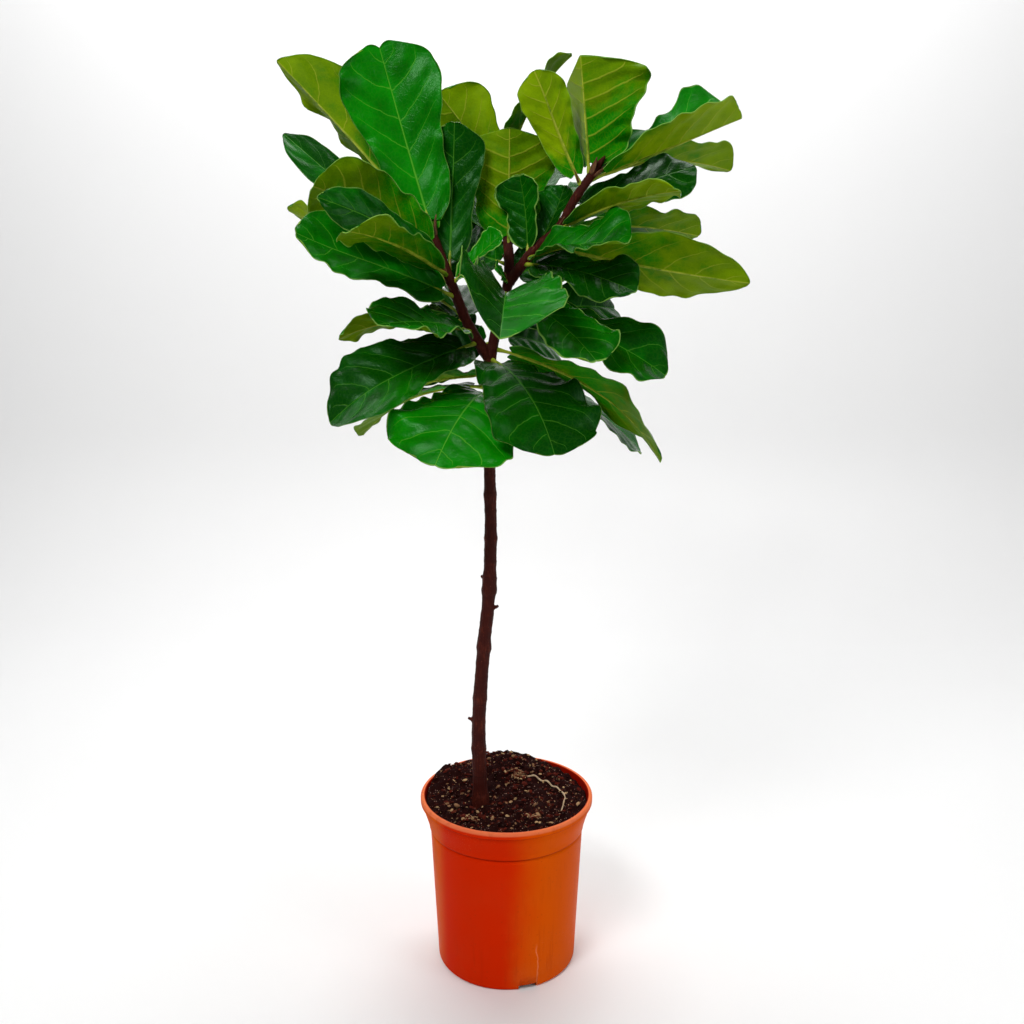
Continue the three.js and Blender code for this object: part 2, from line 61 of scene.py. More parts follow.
STEMS = {
    "trunk": {
        "points": [(-36, -18, 130), (-36, -18, 232), (-38, -14, 350), (-30, -8, 470), (-24, -4, 530),
                   (-21, 0, 620), (-22, 0, 700), (-20, 0, 850), (3, 8, 955), (-3, 45, 1034)],
        "radii": (10.5, 6.0),
    },
    "left": {
        "points": [(-20, 0, 845), (-49, -6, 893), (-62, -10, 925), (-92, -15, 1004)],
        "radii": (7.5, 5.5),
    },
    "right": {
        "points": [(3, 6, 945), (35, -5, 985), (65, -12, 1011), (84, -18, 1045), (106, -20, 1076)],
        "radii": (6.8, 5.2),
    },
}
# Knots by height and swelling, the flare at the foot also by its reach up and down, and twig stubs by
# height, compass angle in degrees and length.
TRUNK_KNOTS = [(318, 0.9), (392, 0.7), (463, 1.4), (541, 2.2), (556, 1.6), (612, 0.8), (668, 1.0)]
TRUNK_FLARE = (234, 2.5, 22)
SCAR_GAP = 19
TWIG_STUBS = [(354, 170, 9), (462, 60, 8), (513, -20, 10), (552, 150, 7)]
BUD_LENGTH = 26
SHEATH_THICKNESS = 0.5
LOWEST_SHEATH = 900
# Places along a twig stub with its radius there, and places along a bud with its share of the radius.
STUB_SHAPE = [(0, 4.2), (0.4, 3.8), (0.6, 2.8), (0.8, 2.3), (0.93, 2.2), (1.0, 1.5)]
BUD_SHAPE = [(0.2, 0.98), (0.45, 0.86), (0.7, 0.6), (0.88, 0.33), (1.0, 0.1)]

# One row for each leaf: its name, stem and node height, the place of its tip, the way its upper face
# looks, the width of its blade, how far its midrib bows, how its left and right halves fold up in
# degrees, how it cups, its edge waves and where they start, and how far its tip curls up. Three more may
# follow: its twist in degrees, how far it narrows to the tip, and the depth of the notch in its tip.
LEAVES = [
    ("left_01", "left", 988, (-297, 60, 1220), (0.45, 0.77, 0.45), 140, 0.04, 36, 36, 0.1, 5, 0.1, 0.02, 0, 0.5, 0),
    ("left_02", "left", 998, (-158, 10, 1236), (0.1, -1, 0.15), 126, -0.04, 8, 8, 0.1, 5, 0.3, 0, 0, 0, 0.05),
    ("left_03", "left", 978, (-228, -80, 1056), (0.15, 0.9, 0.45), 120, 0.08, 8, 8, 0, 5, 0.2, 0, 0, 0.2, 0.01),
    ("left_04", "left", 952, (-64, 12, 1142), (0, -1, 0.3), 80, -0.05, -5, 5, 0, 4, 0.5, 0.02, 15, 0, 0.02),
    ("left_05", "left", 940, (-303, 145, 1142), (0.15, -1, 0.3), 52, 0.02, 5, 5, 0, 3, 0.6, 0, 0, 0.1, 0),
    ("left_06", "left", 919, (-242, 196, 1110), (0.2, 0.3, 1), 72, 0.02, 10, 10, 0, 4, 0.6, 0, 20, 0, 0.02),
    ("left_07", "left", 900, (-288, 60, 1038), (0, 0.6, 1), 85, 0.04, 10, 10, 0, 5, 0.2, 0, 15, 0.1, 0.02),
    ("left_08", "left", 971, (-215, -125, 1040), (0.3, -0.85, 0.45), 54, 0.06, -10, 20, 0, 3, 0.2, 0, 0, 0.2, 0),
    ("left_09", "left", 926, (-254, -114, 998), (0, -0.85, 0.55), 102, 0.03, 15, 5, 0.1, 4, 0.2, 0.05, -10, 0.1, 0.02),
    ("left_10", "left", 952, (-172, -194, 1000), (0, 0.65, 0.75), 70, 0.05, 10, 10, 0, 4, 0.4, 0),
    ("left_11", "left", 942, (-4, -32, 1004), (-0.5, -0.6, 0.6), 42, 0.02, 20, 20, 0, 3, 0.4, 0),
    ("left_12", "left", 882, (-147, -150, 898), (0, -0.7, 0.7), 100, 0.05, 10, 10, 0, 5, 0.4, 0, -15, 0, 0),
    ("left_13", "left", 896, (-212, -40, 882), (0.2, 0.7, 0.7), 56, 0.06, 10, 10, 0, 3, 0.4, -0.05, 15, 0.2, 0),
    ("low_01", "left", 870, (-214, -120, 791), (0.2, -0.75, 0.65), 148, 0.06, 30, -5, 0, 6, 0.4, -0.1, -10, 0.4, 0),
    ("low_02", "trunk", 805, (-82, -190, 746), (0.1, -0.6, 0.8), 158, 0.12, 5, -8, 0, 6, 0.3, -0.05, 0, 0, 0.02),
    ("low_03", "trunk", 848, (58, -170, 752), (0.3, -0.7, 0.7), 154, 0.1, 5, 5, 0, 6, 0.1, -0.03, 0, 0.1, 0.02),
    ("low_04", "trunk", 812, (-199, 60, 738), (-0.3, 0, 1), 80, 0.12, 10, 10, 0, 4, 0.4, 0),
    ("low_05", "trunk", 862, (202, -55, 730), (0.5, 0.5, 0.7), 96, 0.1, 5, 5, 0, 6, 0.4, -0.04, -10, 0.1, 0),
    ("low_06", "trunk", 830, (184, 65, 716), (0.2, -0.4, 1), 90, 0.1, 5, 5, 0, 5, 0.4, 0, 0, 0.2, 0),
    ("low_07", "trunk", 828, (-152, -50, 806), (0, 0.4, 1), 72, 0.05, 10, 10, 0, 4, 0.1, 0, 0, 0.1, 0),
    ("right_01", "trunk", 920, (106, -150, 853), (0.2, -0.6, 0.8), 105, 0.1, 10, 10, 0, 5, 0.4, 0, 10, 0, 0.03),
    ("right_02", "trunk", 902, (196, -72, 832), (0.2, -0.6, 0.9), 112, 0.1, 10, 10, 0, 5, 0.6, 0, 0, 0, 0.01),
    ("right_03", "right", 967, (153, -96, 934), (0, -0.62, 0.78), 88, 0.06, 5, 4, 0, 5, 0.6, 0, 0, 0.1, 0),
    ("right_04", "right", 973, (143, -110, 990), (0, -0.8, 0.6), 98, 0.06, 5, 40, 0, 5, 0.6, 0, 0, 0, 0.01),
    ("right_05", "right", 1006, (194, -140, 1046), (0, 0.4, 1), 66, 0.05, 10, 10, 0, 4, 0.6, 0, 8, 0.2, 0),
    ("right_06", "right", 1028, (236, 10, 1086), (0, -0.85, 0.55), 80, 0.04, -15, 5, 0, 4, 0.6, 0, 0, 0.1, 0),
    ("right_07", "right", 1066, (289, 0, 1142), (-0.3, 0.1, 0.95), 134, 0, 62, 24, 0, 5, 0.6, 0, 0, 0, 0),
    ("right_08", "right", 1065, (314, 175, 1096), (0, 0.35, 1), 80, 0.07, 15, 30, 0, 5, 0.6, 0, 0, 0, 0.01),
    ("right_09", "right", 1006, (266, 125, 1006), (0, 0.6, 0.85), 72, 0.05, 15, 15, 0, 4, 0.6, 0, 0, 0, 0.02),
    ("right_10", "right", 992, (306, -10, 944), (0, 0.85, 0.5), 118, -0.03, 22, 0, 0, 5, 0.6, 0, 0, 0.62, 0),
    ("right_11", "right", 1070, (88, -30, 1212), (0, 1, 0.1), 168, 0.03, 5, 80, 0, 5, 0.6, 0.05, 0, 0, 0),
    ("right_12", "right", 1058, (34, -50, 1194), (-0.3, 0.9, 0.3), 66, 0.08, 10, 10, 0, 4, 0.6, 0.1, 0, 0.1, 0.01),
    ("right_13", "right", 976, (16, 0, 1078), (-0.6, -0.8, 0), 72, -0.05, 25, 25, 0, 2, 0.6, 0),
    ("right_14", "right", 990, (74, 16, 1065), (-0.6, -0.8, 0), 55, -0.05, 25, 25, 0, 2, 0.6, 0),
    ("middle_01", "trunk", 985, (4, 12, 1134), (0, 1, 0.2), 128, 0.02, 10, 10, 0, 5, 0.6, 0.03, 0, 0, 0),
    ("middle_02", "trunk", 1024, (84, 52, 1226), (-0.8, 0.1, 0.5), 78, 0.12, 15, 15, 0, 4, 0.6, 0, 0, 0, 0.01),
    ("middle_03", "trunk", 1045, (-92, 122, 1192), (0, 0.8, 0.6), 102, 0.12, 10, 10, 0, 5, 0.6, 0, 0, 0, 0.02),
    ("middle_04", "trunk", 930, (-8, -190, 882), (0.1, -0.5, 0.87), 156, 0.09, 30, 42, 0.16, 6, 0.1, 0, 6, 0, 0.02),
    ("middle_05", "trunk", 944, (-14, -34, 966), (0.8, -0.3, 0.3), 22, 0, 10, 10, 0, 1, 0.6, 0),
    ("back_01", "left", 878, (-156, 175, 898), (0, -0.3, 1), 105, 0.06, 10, 10, 0, 4, 0.1, -0.04),
    ("back_02", "left", 893, (-118, 205, 928), (0, 0, 1), 110, 0.08, 10, 10, 0, 4, 0.5, 0),
    ("back_03", "trunk", 868, (-98, 112, 838), (0.1, -0.9, 0.4), 100, 0.08, 8, 8, 0, 5, 0.5, -0.04),
    ("back_04", "trunk", 879, (80, 132, 842), (0, -0.9, 0.45), 112, 0.08, 8, 8, 0, 5, 0.2, -0.04),
    ("back_05", "trunk", 948, (96, 100, 988), (0, -0.95, 0.3), 98, 0.04, 8, 8, 0, 5, 0.2, 0),
    ("back_06", "right", 988, (190, 140, 962), (0, 0, 1), 110, 0.1, 8, 8, 0, 4, 0.2, 0),
    ("back_07", "right", 1030, (160, 165, 1064), (0, 0, 1), 105, 0.08, 8, 8, 0, 4, 0.2, 0),
    ("back_08", "trunk", 997, (-75, 200, 1092), (0, -0.3, 1), 115, 0.04, 12, 12, 0, 4, 0.2, 0),
    ("back_09", "trunk", 1004, (80, 190, 1126), (0, -0.3, 1), 95, 0.04, 12, 12, 0, 4, 0.7, 0),
    ("back_10", "trunk", 900, (152, 122, 908), (0, -0.9, 0.45), 92, 0.08, 8, 8, 0, 5, 0.7, 0),
    ("back_11", "trunk", 966, (-80, 112, 986), (0, -0.95, 0.3), 94, 0.08, 8, 8, 0, 4, 0.7, 0),
]

# Each leaf's tone, from -1 for dark to 1 for bright or yellow, partly its own colour and partly painted light
# and shade: leaves in the shade of others are set dark and lit ones bright. Then how pale its margin is, partly
# its own pale margin and partly a painted highlight on edges that catch the light.
LEAF_LOOKS = {
    "left_01": (0.2, 0.3), "left_02": (0.5, 0.2), "left_03": (-0.2, 0.6), "left_04": (-0.7, 0.1),
    "left_05": (-0.7, 0.1), "left_06": (0.6, 0.3), "left_07": (0.7, 0.4), "left_08": (-0.6, 0.4),
    "left_09": (0.1, 0.7), "left_10": (-0.1, 0.6), "left_11": (0.6, 1.0), "left_12": (-0.4, 0.9),
    "left_13": (0.4, 0.5), "low_01": (-0.6, 0.3), "low_02": (0.6, 0.7), "low_03": (-0.8, 0.2),
    "low_04": (-0.4, 0.1), "low_05": (-0.5, 0.3), "low_06": (-0.2, 0.2), "low_07": (0.1, 0.3),
    "right_01": (-0.3, 1.0), "right_02": (-0.4, 0.6), "right_03": (-0.8, 0.5), "right_04": (-0.3, 0.6),
    "right_05": (0.7, 0.5), "right_06": (-0.9, 0.2), "right_07": (0.5, 0.8), "right_08": (0.4, 0.3),
    "right_09": (0.1, 0.3), "right_10": (0.4, 0.4), "right_11": (0.4, 0.9), "right_12": (0.6, 0.3),
    "right_13": (-0.6, 1.0), "right_14": (-0.8, 0.3), "middle_01": (-0.1, 0.3), "middle_02": (0.2, 0.4),
    "middle_03": (0.4, 0.3), "middle_04": (-0.4, 0.8), "middle_05": (0.5, 0.3),
}
# The leaves at the back get a dark tone: painted shade inside the crown.
BACK_LEAF_LOOKS = (-0.6, 0.1)
# How much lighter the right half of a leaf is than its left half, where it is plain to see: painted light and
# shade, with one half lit and the other in shade.
HALF_SHADING = {"middle_04": -0.9, "left_02": -0.4, "right_07": 0.6, "low_01": -0.4, "right_11": 1.6}

BLADE_OUTLINE = [(0, 0.24), (0.05, 0.46), (0.12, 0.6), (0.22, 0.66), (0.34, 0.67), (0.46, 0.74),
                 (0.58, 0.88), (0.7, 0.98), (0.8, 1), (0.88, 0.92), (0.94, 0.76), (0.98, 0.54), (1, 0.34)]
STALK_LENGTH = 27
LONGEST_STALK = 0.13  # as a share of the leaf
MIDRIB_END = 0.925  # as a share of the leaf
CURL_START = 0.62  # as a share of the leaf
RIM_BULGE = 0.35
VEIN_PAIRS = 6
VEIN_SLANT = 0.8  # the gap square to two side veins, as a share of the gap along the midrib

POT_RIM = 120.0
POT_HEIGHT = 246.0
POT_WALL = 3.0
POT_FOOT = 5.0
POT_BASE_RISE = 2.2
POT_RIM_UNDER = 236
POT_RIM_ROLL = 3.2
# Heights up the outside of the pot, with its radius there. The second is the step under the collar.
POT_OUTSIDE = [(5, 97.5), (199, 106.6), (200.6, 108), (208, 109.3), (217, 112), (227, 115.2), (236.5, 117.2)]
DRAIN_SLOTS = 3
DRAIN_TURN = -1.267  # radians from +X to the first slot
DRAIN_SLOT = (15, 26, 14)  # through the wall, along it and up, half of the last under the floor
SOIL_HEIGHT = 238
# Heaps by x, y, rise and spread, and further down pale clumps by x, y and half width.
SOIL_HEAPS = [(0, 95, 20, 60), (-88, 52, 16, 36)]
SOIL_LUMP = 2.2
ROOT_LINE = [(30, 52), (44, 45), (66, 26), (82, -1), (78, -26), (71, -58)]
ROOT_RADIUS = 1.35
CRUMB_SPREAD = 108
CLEAR_OF_TRUNK = 15
# Crumbs go from near black at 0 to tan at 1, and one in every few lies in a pale clump.
CRUMB_HUES = [0.0, 0.1, 0.2, 0.3, 0.35, 0.4, 0.5, 0.6, 0.75, 0.9]
CLUMP_EVERY = 16
PALE_CLUMPS = [(36, -56, 11), (14, 48, 15), (-48, -64, 10)]

# The stage, in metres: each light's place, what it is aimed at, its size and its share of the key light.
LIGHTS = [
    ("key", (-0.9, -1.5, 2.4), (0, 0, 0.8), (0.7, 0.7), 1.0),
    ("fill", (2.1, -1.4, 1.3), (0, 0, 0.7), (1.0, 1.4), 0.5),
    ("top", (0.1, 0.5, 2.9), (0, 0.1, 0.9), (1.0, 0.8), 0.5),
    ("glint", (-0.5, -1.9, 2.3), (0, 0, 1.0), (0.16, 0.16), 0.2),
    ("floor_wash", (0, 1.0, 2.8), (0, 1.7, 0.6), (3.0, 0.6), 1.2),
]
SKY_STRENGTH = 0.2
# Where the floor begins to curve up behind the pot, and the radius of the curve, in millimetres.
FLOOR_BACK = 1300
FLOOR_BEND = 500
# The pot stands 5.5 pixels left of the middle of a picture 1024 pixels wide.
CAMERA_SHIFT = 5.5 / 1024

# Colours of small marks, which a user would leave alone.
# Near black painted shade, for the leaves with the darkest tone, deep in the crown.
SHADED_LEAF = (0.0, 0.024, 0.0002, 1)
STALK_FLECK = (0.12, 0.06, 0.02, 1)
BARK_BAND = (0.014, 0.003, 0.002, 1)
SHEATH_SHADE = (0.07, 0.025, 0.012, 1)
MIX_SPECK = (0.7, 0.42, 0.33, 1)
ROOT_RING = (0.2, 0.1, 0.05, 1)
ROOT_DIRT = (0.1, 0.05, 0.03, 1)
STEP_SHADE = (0.26, 0.006, 0.0004, 1)
# Painted shade on the inside of the wall above the mix.
POT_INSIDE_SHADE = (0.3, 0.006, 0.0004, 1)
POT_CREASE = (0.85, 0.25, 0.1, 1)
POT_SCUFF = (0.78, 0.24, 0.1, 1)
POT_STAIN = (0.34, 0.012, 0.0005, 1)
POT_DUST = (0.42, 0.14, 0.05, 1)
POT_SPECK = (0.2, 0.03, 0.01, 1)
# Heights of the shaded lines under the collar and under the rim, with half their width, in metres.
STEP_SHADES = [(0.2002, 0.0016), (0.2366, 0.0012)]

# ---------------------------------------------------------------------------------------------
# Settings that a user can change
# ---------------------------------------------------------------------------------------------


def length(name, description, default, low, high):
    """A length setting, in metres."""
    return bpy.props.FloatProperty(
        name=name, description=description, default=default, min=low, max=high, unit="LENGTH", precision=4,
    )


def colour(name, description, default):
    """A colour setting."""
    return bpy.props.FloatVectorProperty(
        name=name, description=description, default=default, size=4, min=0, max=1, subtype="COLOR",
    )


def share(name, description, default):
    """A setting from none to all."""
    return bpy.props.FloatProperty(
        name=name, description=description, default=default, min=0, max=1, subtype="FACTOR",
    )


class LeafSettings(bpy.types.PropertyGroup):
    """Sizes and colours of the leaves."""

    thickness: length("Blade Thickness", "Thickness of a blade away from its veins", 0.0011, 0.0006, 0.003)
    rib: length("Midrib Radius", "Radius of the midrib where the blade begins", 0.0021, 0.001, 0.004)
    quilting: length("Quilting", "How far the blade swells up between its side veins", 0.0024, 0.0, 0.003)
    ruffle: length("Ruffle", "Height of the small waves in the margin", 0.0065, 0.0, 0.01)
    top: colour("Upper Face", "Deep green of the upper face", (0.0, 0.062, 0.0003, 1))
    # The upper face also goes over to this green as painted light, on lit leaves and their lit halves.
    top_light: colour("Upper Face, Light", "Fresh green near the veins and edges", (0.0012, 0.25, 0.0003, 1))
    # The green of the underside near the stalk is painted shade.
    under_green: colour("Underside, Green", "Green of the underside near the stalk", (0.003, 0.19, 0.0003, 1))
    under: colour("Underside", "Olive green of the underside", (0.085, 0.19, 0.0004, 1))
    under_light: colour("Underside, Light", "Yellow green of a leaf lit through", (0.28, 0.42, 0.0008, 1))
    vein: colour("Veins", "Pale green of the veins", (0.14, 0.48, 0.03, 1))
    vein_under: colour("Veins, Underside", "Yellow green of the veins below", (0.36, 0.42, 0.03, 1))
    # The pale rim is partly the leaf's own paler margin and partly a painted highlight on edges that catch the light.
    edge: colour("Leaf Edge", "Pale rim of the blade", (0.34, 0.64, 0.12, 1))


class StemSettings(bpy.types.PropertyGroup):
    """Sizes and colours of the trunk, its branches and their buds."""

    detail: length("Bark Detail", "Size of the smallest form kept in the bark", 0.0014, 0.001, 0.004)
    ridge: length("Bark Ridges", "Height of the ridges in the bark", 0.0006, 0.0, 0.003)
    bark: colour("Bark", "Dark maroon brown of the old bark", (0.042, 0.0045, 0.0022, 1))
    bark_light: colour("Bark, Light", "Red brown of the dry patches", (0.15, 0.026, 0.012, 1))
    sheath: colour("Bud Sheath", "Papery brown of the bud sheaths", (0.2, 0.08, 0.03, 1))


class SoilSettings(bpy.types.PropertyGroup):
    """Sizes and colours of the potting mix."""

    crumbs: bpy.props.IntProperty(
        name="Crumbs", description="How many crumbs of bark and peat lie on the mix", default=1700, min=0,
        max=6000,
    )
    crumb_size: length("Crumb Size", "Length of the largest crumbs", 0.0085, 0.002, 0.02)
    dark: colour("Peat", "Near black of damp peat", (0.014, 0.0015, 0.001, 1))
    middle: colour("Bark Bits", "Maroon brown of rotting bark", (0.1, 0.012, 0.006, 1))
    light: colour("Bark Chips", "Tan of dry bark chips", (0.58, 0.36, 0.18, 1))
    root: colour("Root", "Pale skin of the root that shows", (0.52, 0.37, 0.22, 1))


class PotSettings(bpy.types.PropertyGroup):
    """Sizes and colours of the nursery pot."""

    wall: length("Wall", "Thickness of the pot's wall", POT_WALL * MM, 0.001, 0.006)
    groove: length("Step Line", "Depth of the groove under the collar", 0.0014, 0.0, 0.002)
    plastic: colour("Plastic", "Red orange of the wall", (0.62, 0.02, 0.0002, 1))
    # The orange of the sides is painted light, where the light falls on the pot's right side and left edge.
    sunned: colour("Sunned Plastic", "Orange of the sides that the sun has bleached", (0.7, 0.09, 0.0002, 1))
    rim: colour("Faded Rim", "Sun-faded pink orange of the rim", (0.82, 0.2, 0.08, 1))
    wear: share("Wear", "How strongly scuffs and dust show", 0.5)


class StageSettings(bpy.types.PropertyGroup):
    """The floor, the lights and the camera."""

    floor: colour("Floor", "Pale floor and backdrop", (0.9, 0.9, 0.9, 1))
    distance: length("Camera Distance", "From the pot's axis to the camera", 1.4, 0.5, 5)
    height: length("Camera Height", "From the floor to the camera", 0.95, 0.1, 3)
    pitch: bpy.props.FloatProperty(
        name="Camera Pitch", description="How far the camera looks down", default=math.radians(12.2),
        min=-1.5, max=1.5, subtype="ANGLE",
    )
    focal: bpy.props.FloatProperty(
        name="Focal Length", description="On a 36 mm wide sensor", default=38.0, min=10, max=200,
    )
    key: bpy.props.FloatProperty(
        name="Key Light", description="Strength of the large soft key light in watts", default=30.0,
        min=0, max=500,
    )


# ---------------------------------------------------------------------------------------------
# Lines and curves
# ---------------------------------------------------------------------------------------------


def centripetal(points, steps):
    """A centripetal Catmull-Rom curve through the points, with that many steps between each two."""
    points = np.array(points, float)
    padded = np.vstack([2 * points[0] - points[1], points, 2 * points[-1] - points[-2]])
    found = []
    for p0, p1, p2, p3 in zip(padded, padded[1:], padded[2:], padded[3:]):
        gaps = [max(1e-4, np.linalg.norm(b - a) ** 0.5) for a, b in ((p0, p1), (p1, p2), (p2, p3))]
        start = (p1 - p0) / gaps[0] - (p2 - p0) / (gaps[0] + gaps[1]) + (p2 - p1) / gaps[1]
        end = (p2 - p1) / gaps[1] - (p3 - p1) / (gaps[1] + gaps[2]) + (p3 - p2) / gaps[2]
        start, end = start * gaps[1], end * gaps[1]
        for t in np.arange(steps) / steps:
            found.append(p1 + start * t + (3 * (p2 - p1) - 2 * start - end) * t * t
                         + (2 * (p1 - p2) + start + end) * t ** 3)
    return np.array(found + [points[-1]])


STEM_LINES = {name: centripetal(stem["points"], 60) for name, stem in STEMS.items()}


def stem_point(name, height):
    """The point of a stem's centre line at a height."""
    line = STEM_LINES[name]
    return np.array([np.interp(height, line[:, 2], line[:, axis]) for axis in range(3)])


def unit(vectors):
    """Vectors with a length of 1."""
    vectors = np.asarray(vectors, float)
    return vectors / np.maximum(np.linalg.norm(vectors, axis=-1, keepdims=True), 1e-12)


def even_line(line, spacing):
    """The line with its points an even distance apart."""
    along = np.concatenate([[0], np.cumsum(np.linalg.norm(np.diff(line, axis=0), axis=1))])
    places = np.linspace(0, along[-1], max(2, round(along[-1] / spacing) + 1))
    return np.stack([np.interp(places, along, line[:, axis]) for axis in range(3)], 1)


def smooth_outline(places):
    """Half width of a blade at the places along it, as a share of its largest."""
    known = np.array(BLADE_OUTLINE)
    rough = np.interp(places, known[:, 0], known[:, 1])
    before = np.interp(np.clip(places - 0.02, 0, 1), known[:, 0], known[:, 1])
    after = np.interp(np.clip(places + 0.02, 0, 1), known[:, 0], known[:, 1])
    middle = np.minimum(places, 1 - places) > 0.03
    return np.where(middle, (rough * 2 + before + after) / 4, rough)


# ---------------------------------------------------------------------------------------------
# Meshes
# ---------------------------------------------------------------------------------------------


class Shell:
    """Collects vertices, faces, material numbers and point attributes for one mesh."""

    def __init__(self):
        self.points = []
        self.faces = []
        self.slots = []
        self.values = {}

    def add(self, points, faces, slot=0, **values):
        """Adds one lot of points in millimetres, with the faces between them."""
        start = len(self.points)
        self.points.extend(np.asarray(points, float) * MM)
        self.faces.extend([tuple(start + corner for corner in face) for face in faces])
        self.slots.extend([slot] * len(faces))
        for name, value in values.items():
            self.values.setdefault(name, {})[start] = np.asarray(value, float)

    def make(self, name, materials, smooth=True):
        """The collected mesh as an object at the origin."""
        mesh = bpy.data.meshes.new(name)
        mesh.from_pydata([tuple(point) for point in self.points], [], self.faces)
        mesh.polygons.foreach_set("material_index", self.slots)
        mesh.polygons.foreach_set("use_smooth", [smooth] * len(self.faces))
        for material in materials:
            mesh.materials.append(material)
        for label, parts in self.values.items():
            vector = next(iter(parts.values())).ndim == 2
            wide = 3 if vector else 1
            table = np.zeros((len(self.points), wide))
            for start, value in parts.items():
                table[start:start + len(value)] = value.reshape(-1, wide)
            kind = "FLOAT_VECTOR" if vector else "FLOAT"
            attribute = mesh.attributes.new(label, kind, "POINT")
            attribute.data.foreach_set("vector" if vector else "value", table.ravel())
        mesh.update()
        made = bpy.data.objects.new(name, mesh)
        bpy.context.scene.collection.objects.link(made)
        return made


def grid_faces(rows, columns, closed=False, flip=False):
    """The faces of a grid of points, closed across its columns if that is asked."""
    faces = []
    for i in range(rows - 1):
        for k in range(columns if closed else columns - 1):
            a, b = i * columns + k, i * columns + (k + 1) % columns
            face = (a, b, b + columns, a + columns)
            faces.append(face[::-1] if flip else face)
    return faces


def turned_faces(points, around, low, high):
    """The faces of rings of points that follow each other, closed by one more point at each end."""
    rows = len(points) // around
    faces = grid_faces(rows, around, closed=True)
    points += [(0, 0, low), (0, 0, high)]
    for k in range(around):
        after = (k + 1) % around
        faces.append((rows * around, after, k))
        faces.append((rows * around + 1, (rows - 1) * around + k, (rows - 1) * around + after))
    return faces


def rim_loop(rows, columns):
    """The numbers of a grid's outer points, all the way round."""
    loop = [i * columns for i in range(rows)]
    loop += [(rows - 1) * columns + k for k in range(1, columns)]
    loop += [i * columns + columns - 1 for i in range(rows - 2, -1, -1)]
    return loop + list(range(columns - 2, 0, -1))


def tube(line, radii, sides, squash=1.0, across=None):
    """A round tube along a line of points, closed at both ends. Returns its points and faces."""
    line = np.asarray(line, float)
    ahead = unit(np.gradient(line, axis=0))
    first = np.array(across if across is not None else (0.3, 1.0, 0.2), float)
    side = unit(first - ahead[0] * (first @ ahead[0]))
    angles = np.arange(sides) * 2 * math.pi / sides
    points = []
    for centre, way, radius in zip(line, ahead, np.broadcast_to(radii, len(line))):
        side = unit(side - way * (side @ way))
        up = np.cross(side, way)
        ring = np.outer(np.cos(angles), side) + np.outer(np.sin(angles) * squash, up)
        points.extend(centre + ring * radius)
    count = len(line)
    faces = grid_faces(count, sides, closed=True, flip=True)
    points.extend([line[0], line[-1]])
    start, end = count * sides, count * sides + 1
    for k in range(sides):
        faces.append((start, k, (k + 1) % sides))
        faces.append((end, (count - 1) * sides + (k + 1) % sides, (count - 1) * sides + k))
    return np.array(points), faces


def rounded(centre, radius, start, end, steps):
    """Points on an arc, from one angle to another in degrees."""
    angles = [math.radians(start + (end - start) * i / steps) for i in range(steps + 1)]
    return [(centre[0] + radius * math.cos(a), centre[1] + radius * math.sin(a)) for a in angles]


def turned_about(yaw, pitch, roll):
    """A rotation by three angles."""
    cz, sz, cy, sy, cx, sx = (f(a) for a in (yaw, pitch, roll) for f in (math.cos, math.sin))
    about_z = np.array([[cz, -sz, 0], [sz, cz, 0], [0, 0, 1]])
    about_y = np.array([[cy, 0, sy], [0, 1, 0], [-sy, 0, cy]])
    about_x = np.array([[1, 0, 0], [0, cx, -sx], [0, sx, cx]])
    return about_z @ about_y @ about_x


def surface_normals(grid, towards):
    """Unit normals of a grid on the side that looks the given way, and whether its faces turn over."""
    normals = unit(np.cross(np.gradient(grid, axis=1), np.gradient(grid, axis=0)))
    middle = normals.shape[1] // 2
    normals[:, middle] = unit(normals[:, middle - 1] + normals[:, middle + 1])
    turned = bool(normals[:, middle].mean(0) @ towards < 0)
    return (-normals if turned else normals), turned


def applied(piece):
    """The piece with its modifiers made part of its mesh."""
    bpy.context.view_layer.update()
    done = piece.evaluated_get(bpy.context.evaluated_depsgraph_get())
    mesh = bpy.data.meshes.new_from_object(done)
    piece.modifiers.clear()
    old, piece.data = piece.data, mesh
    bpy.data.meshes.remove(old)
    return piece


def ready(piece, node):
    """Makes a finished piece ride on the body and stand for its node."""
    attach(piece, "root")
    if node:
        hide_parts(node)
    return piece


# ---------------------------------------------------------------------------------------------
# Shader helpers
# ---------------------------------------------------------------------------------------------


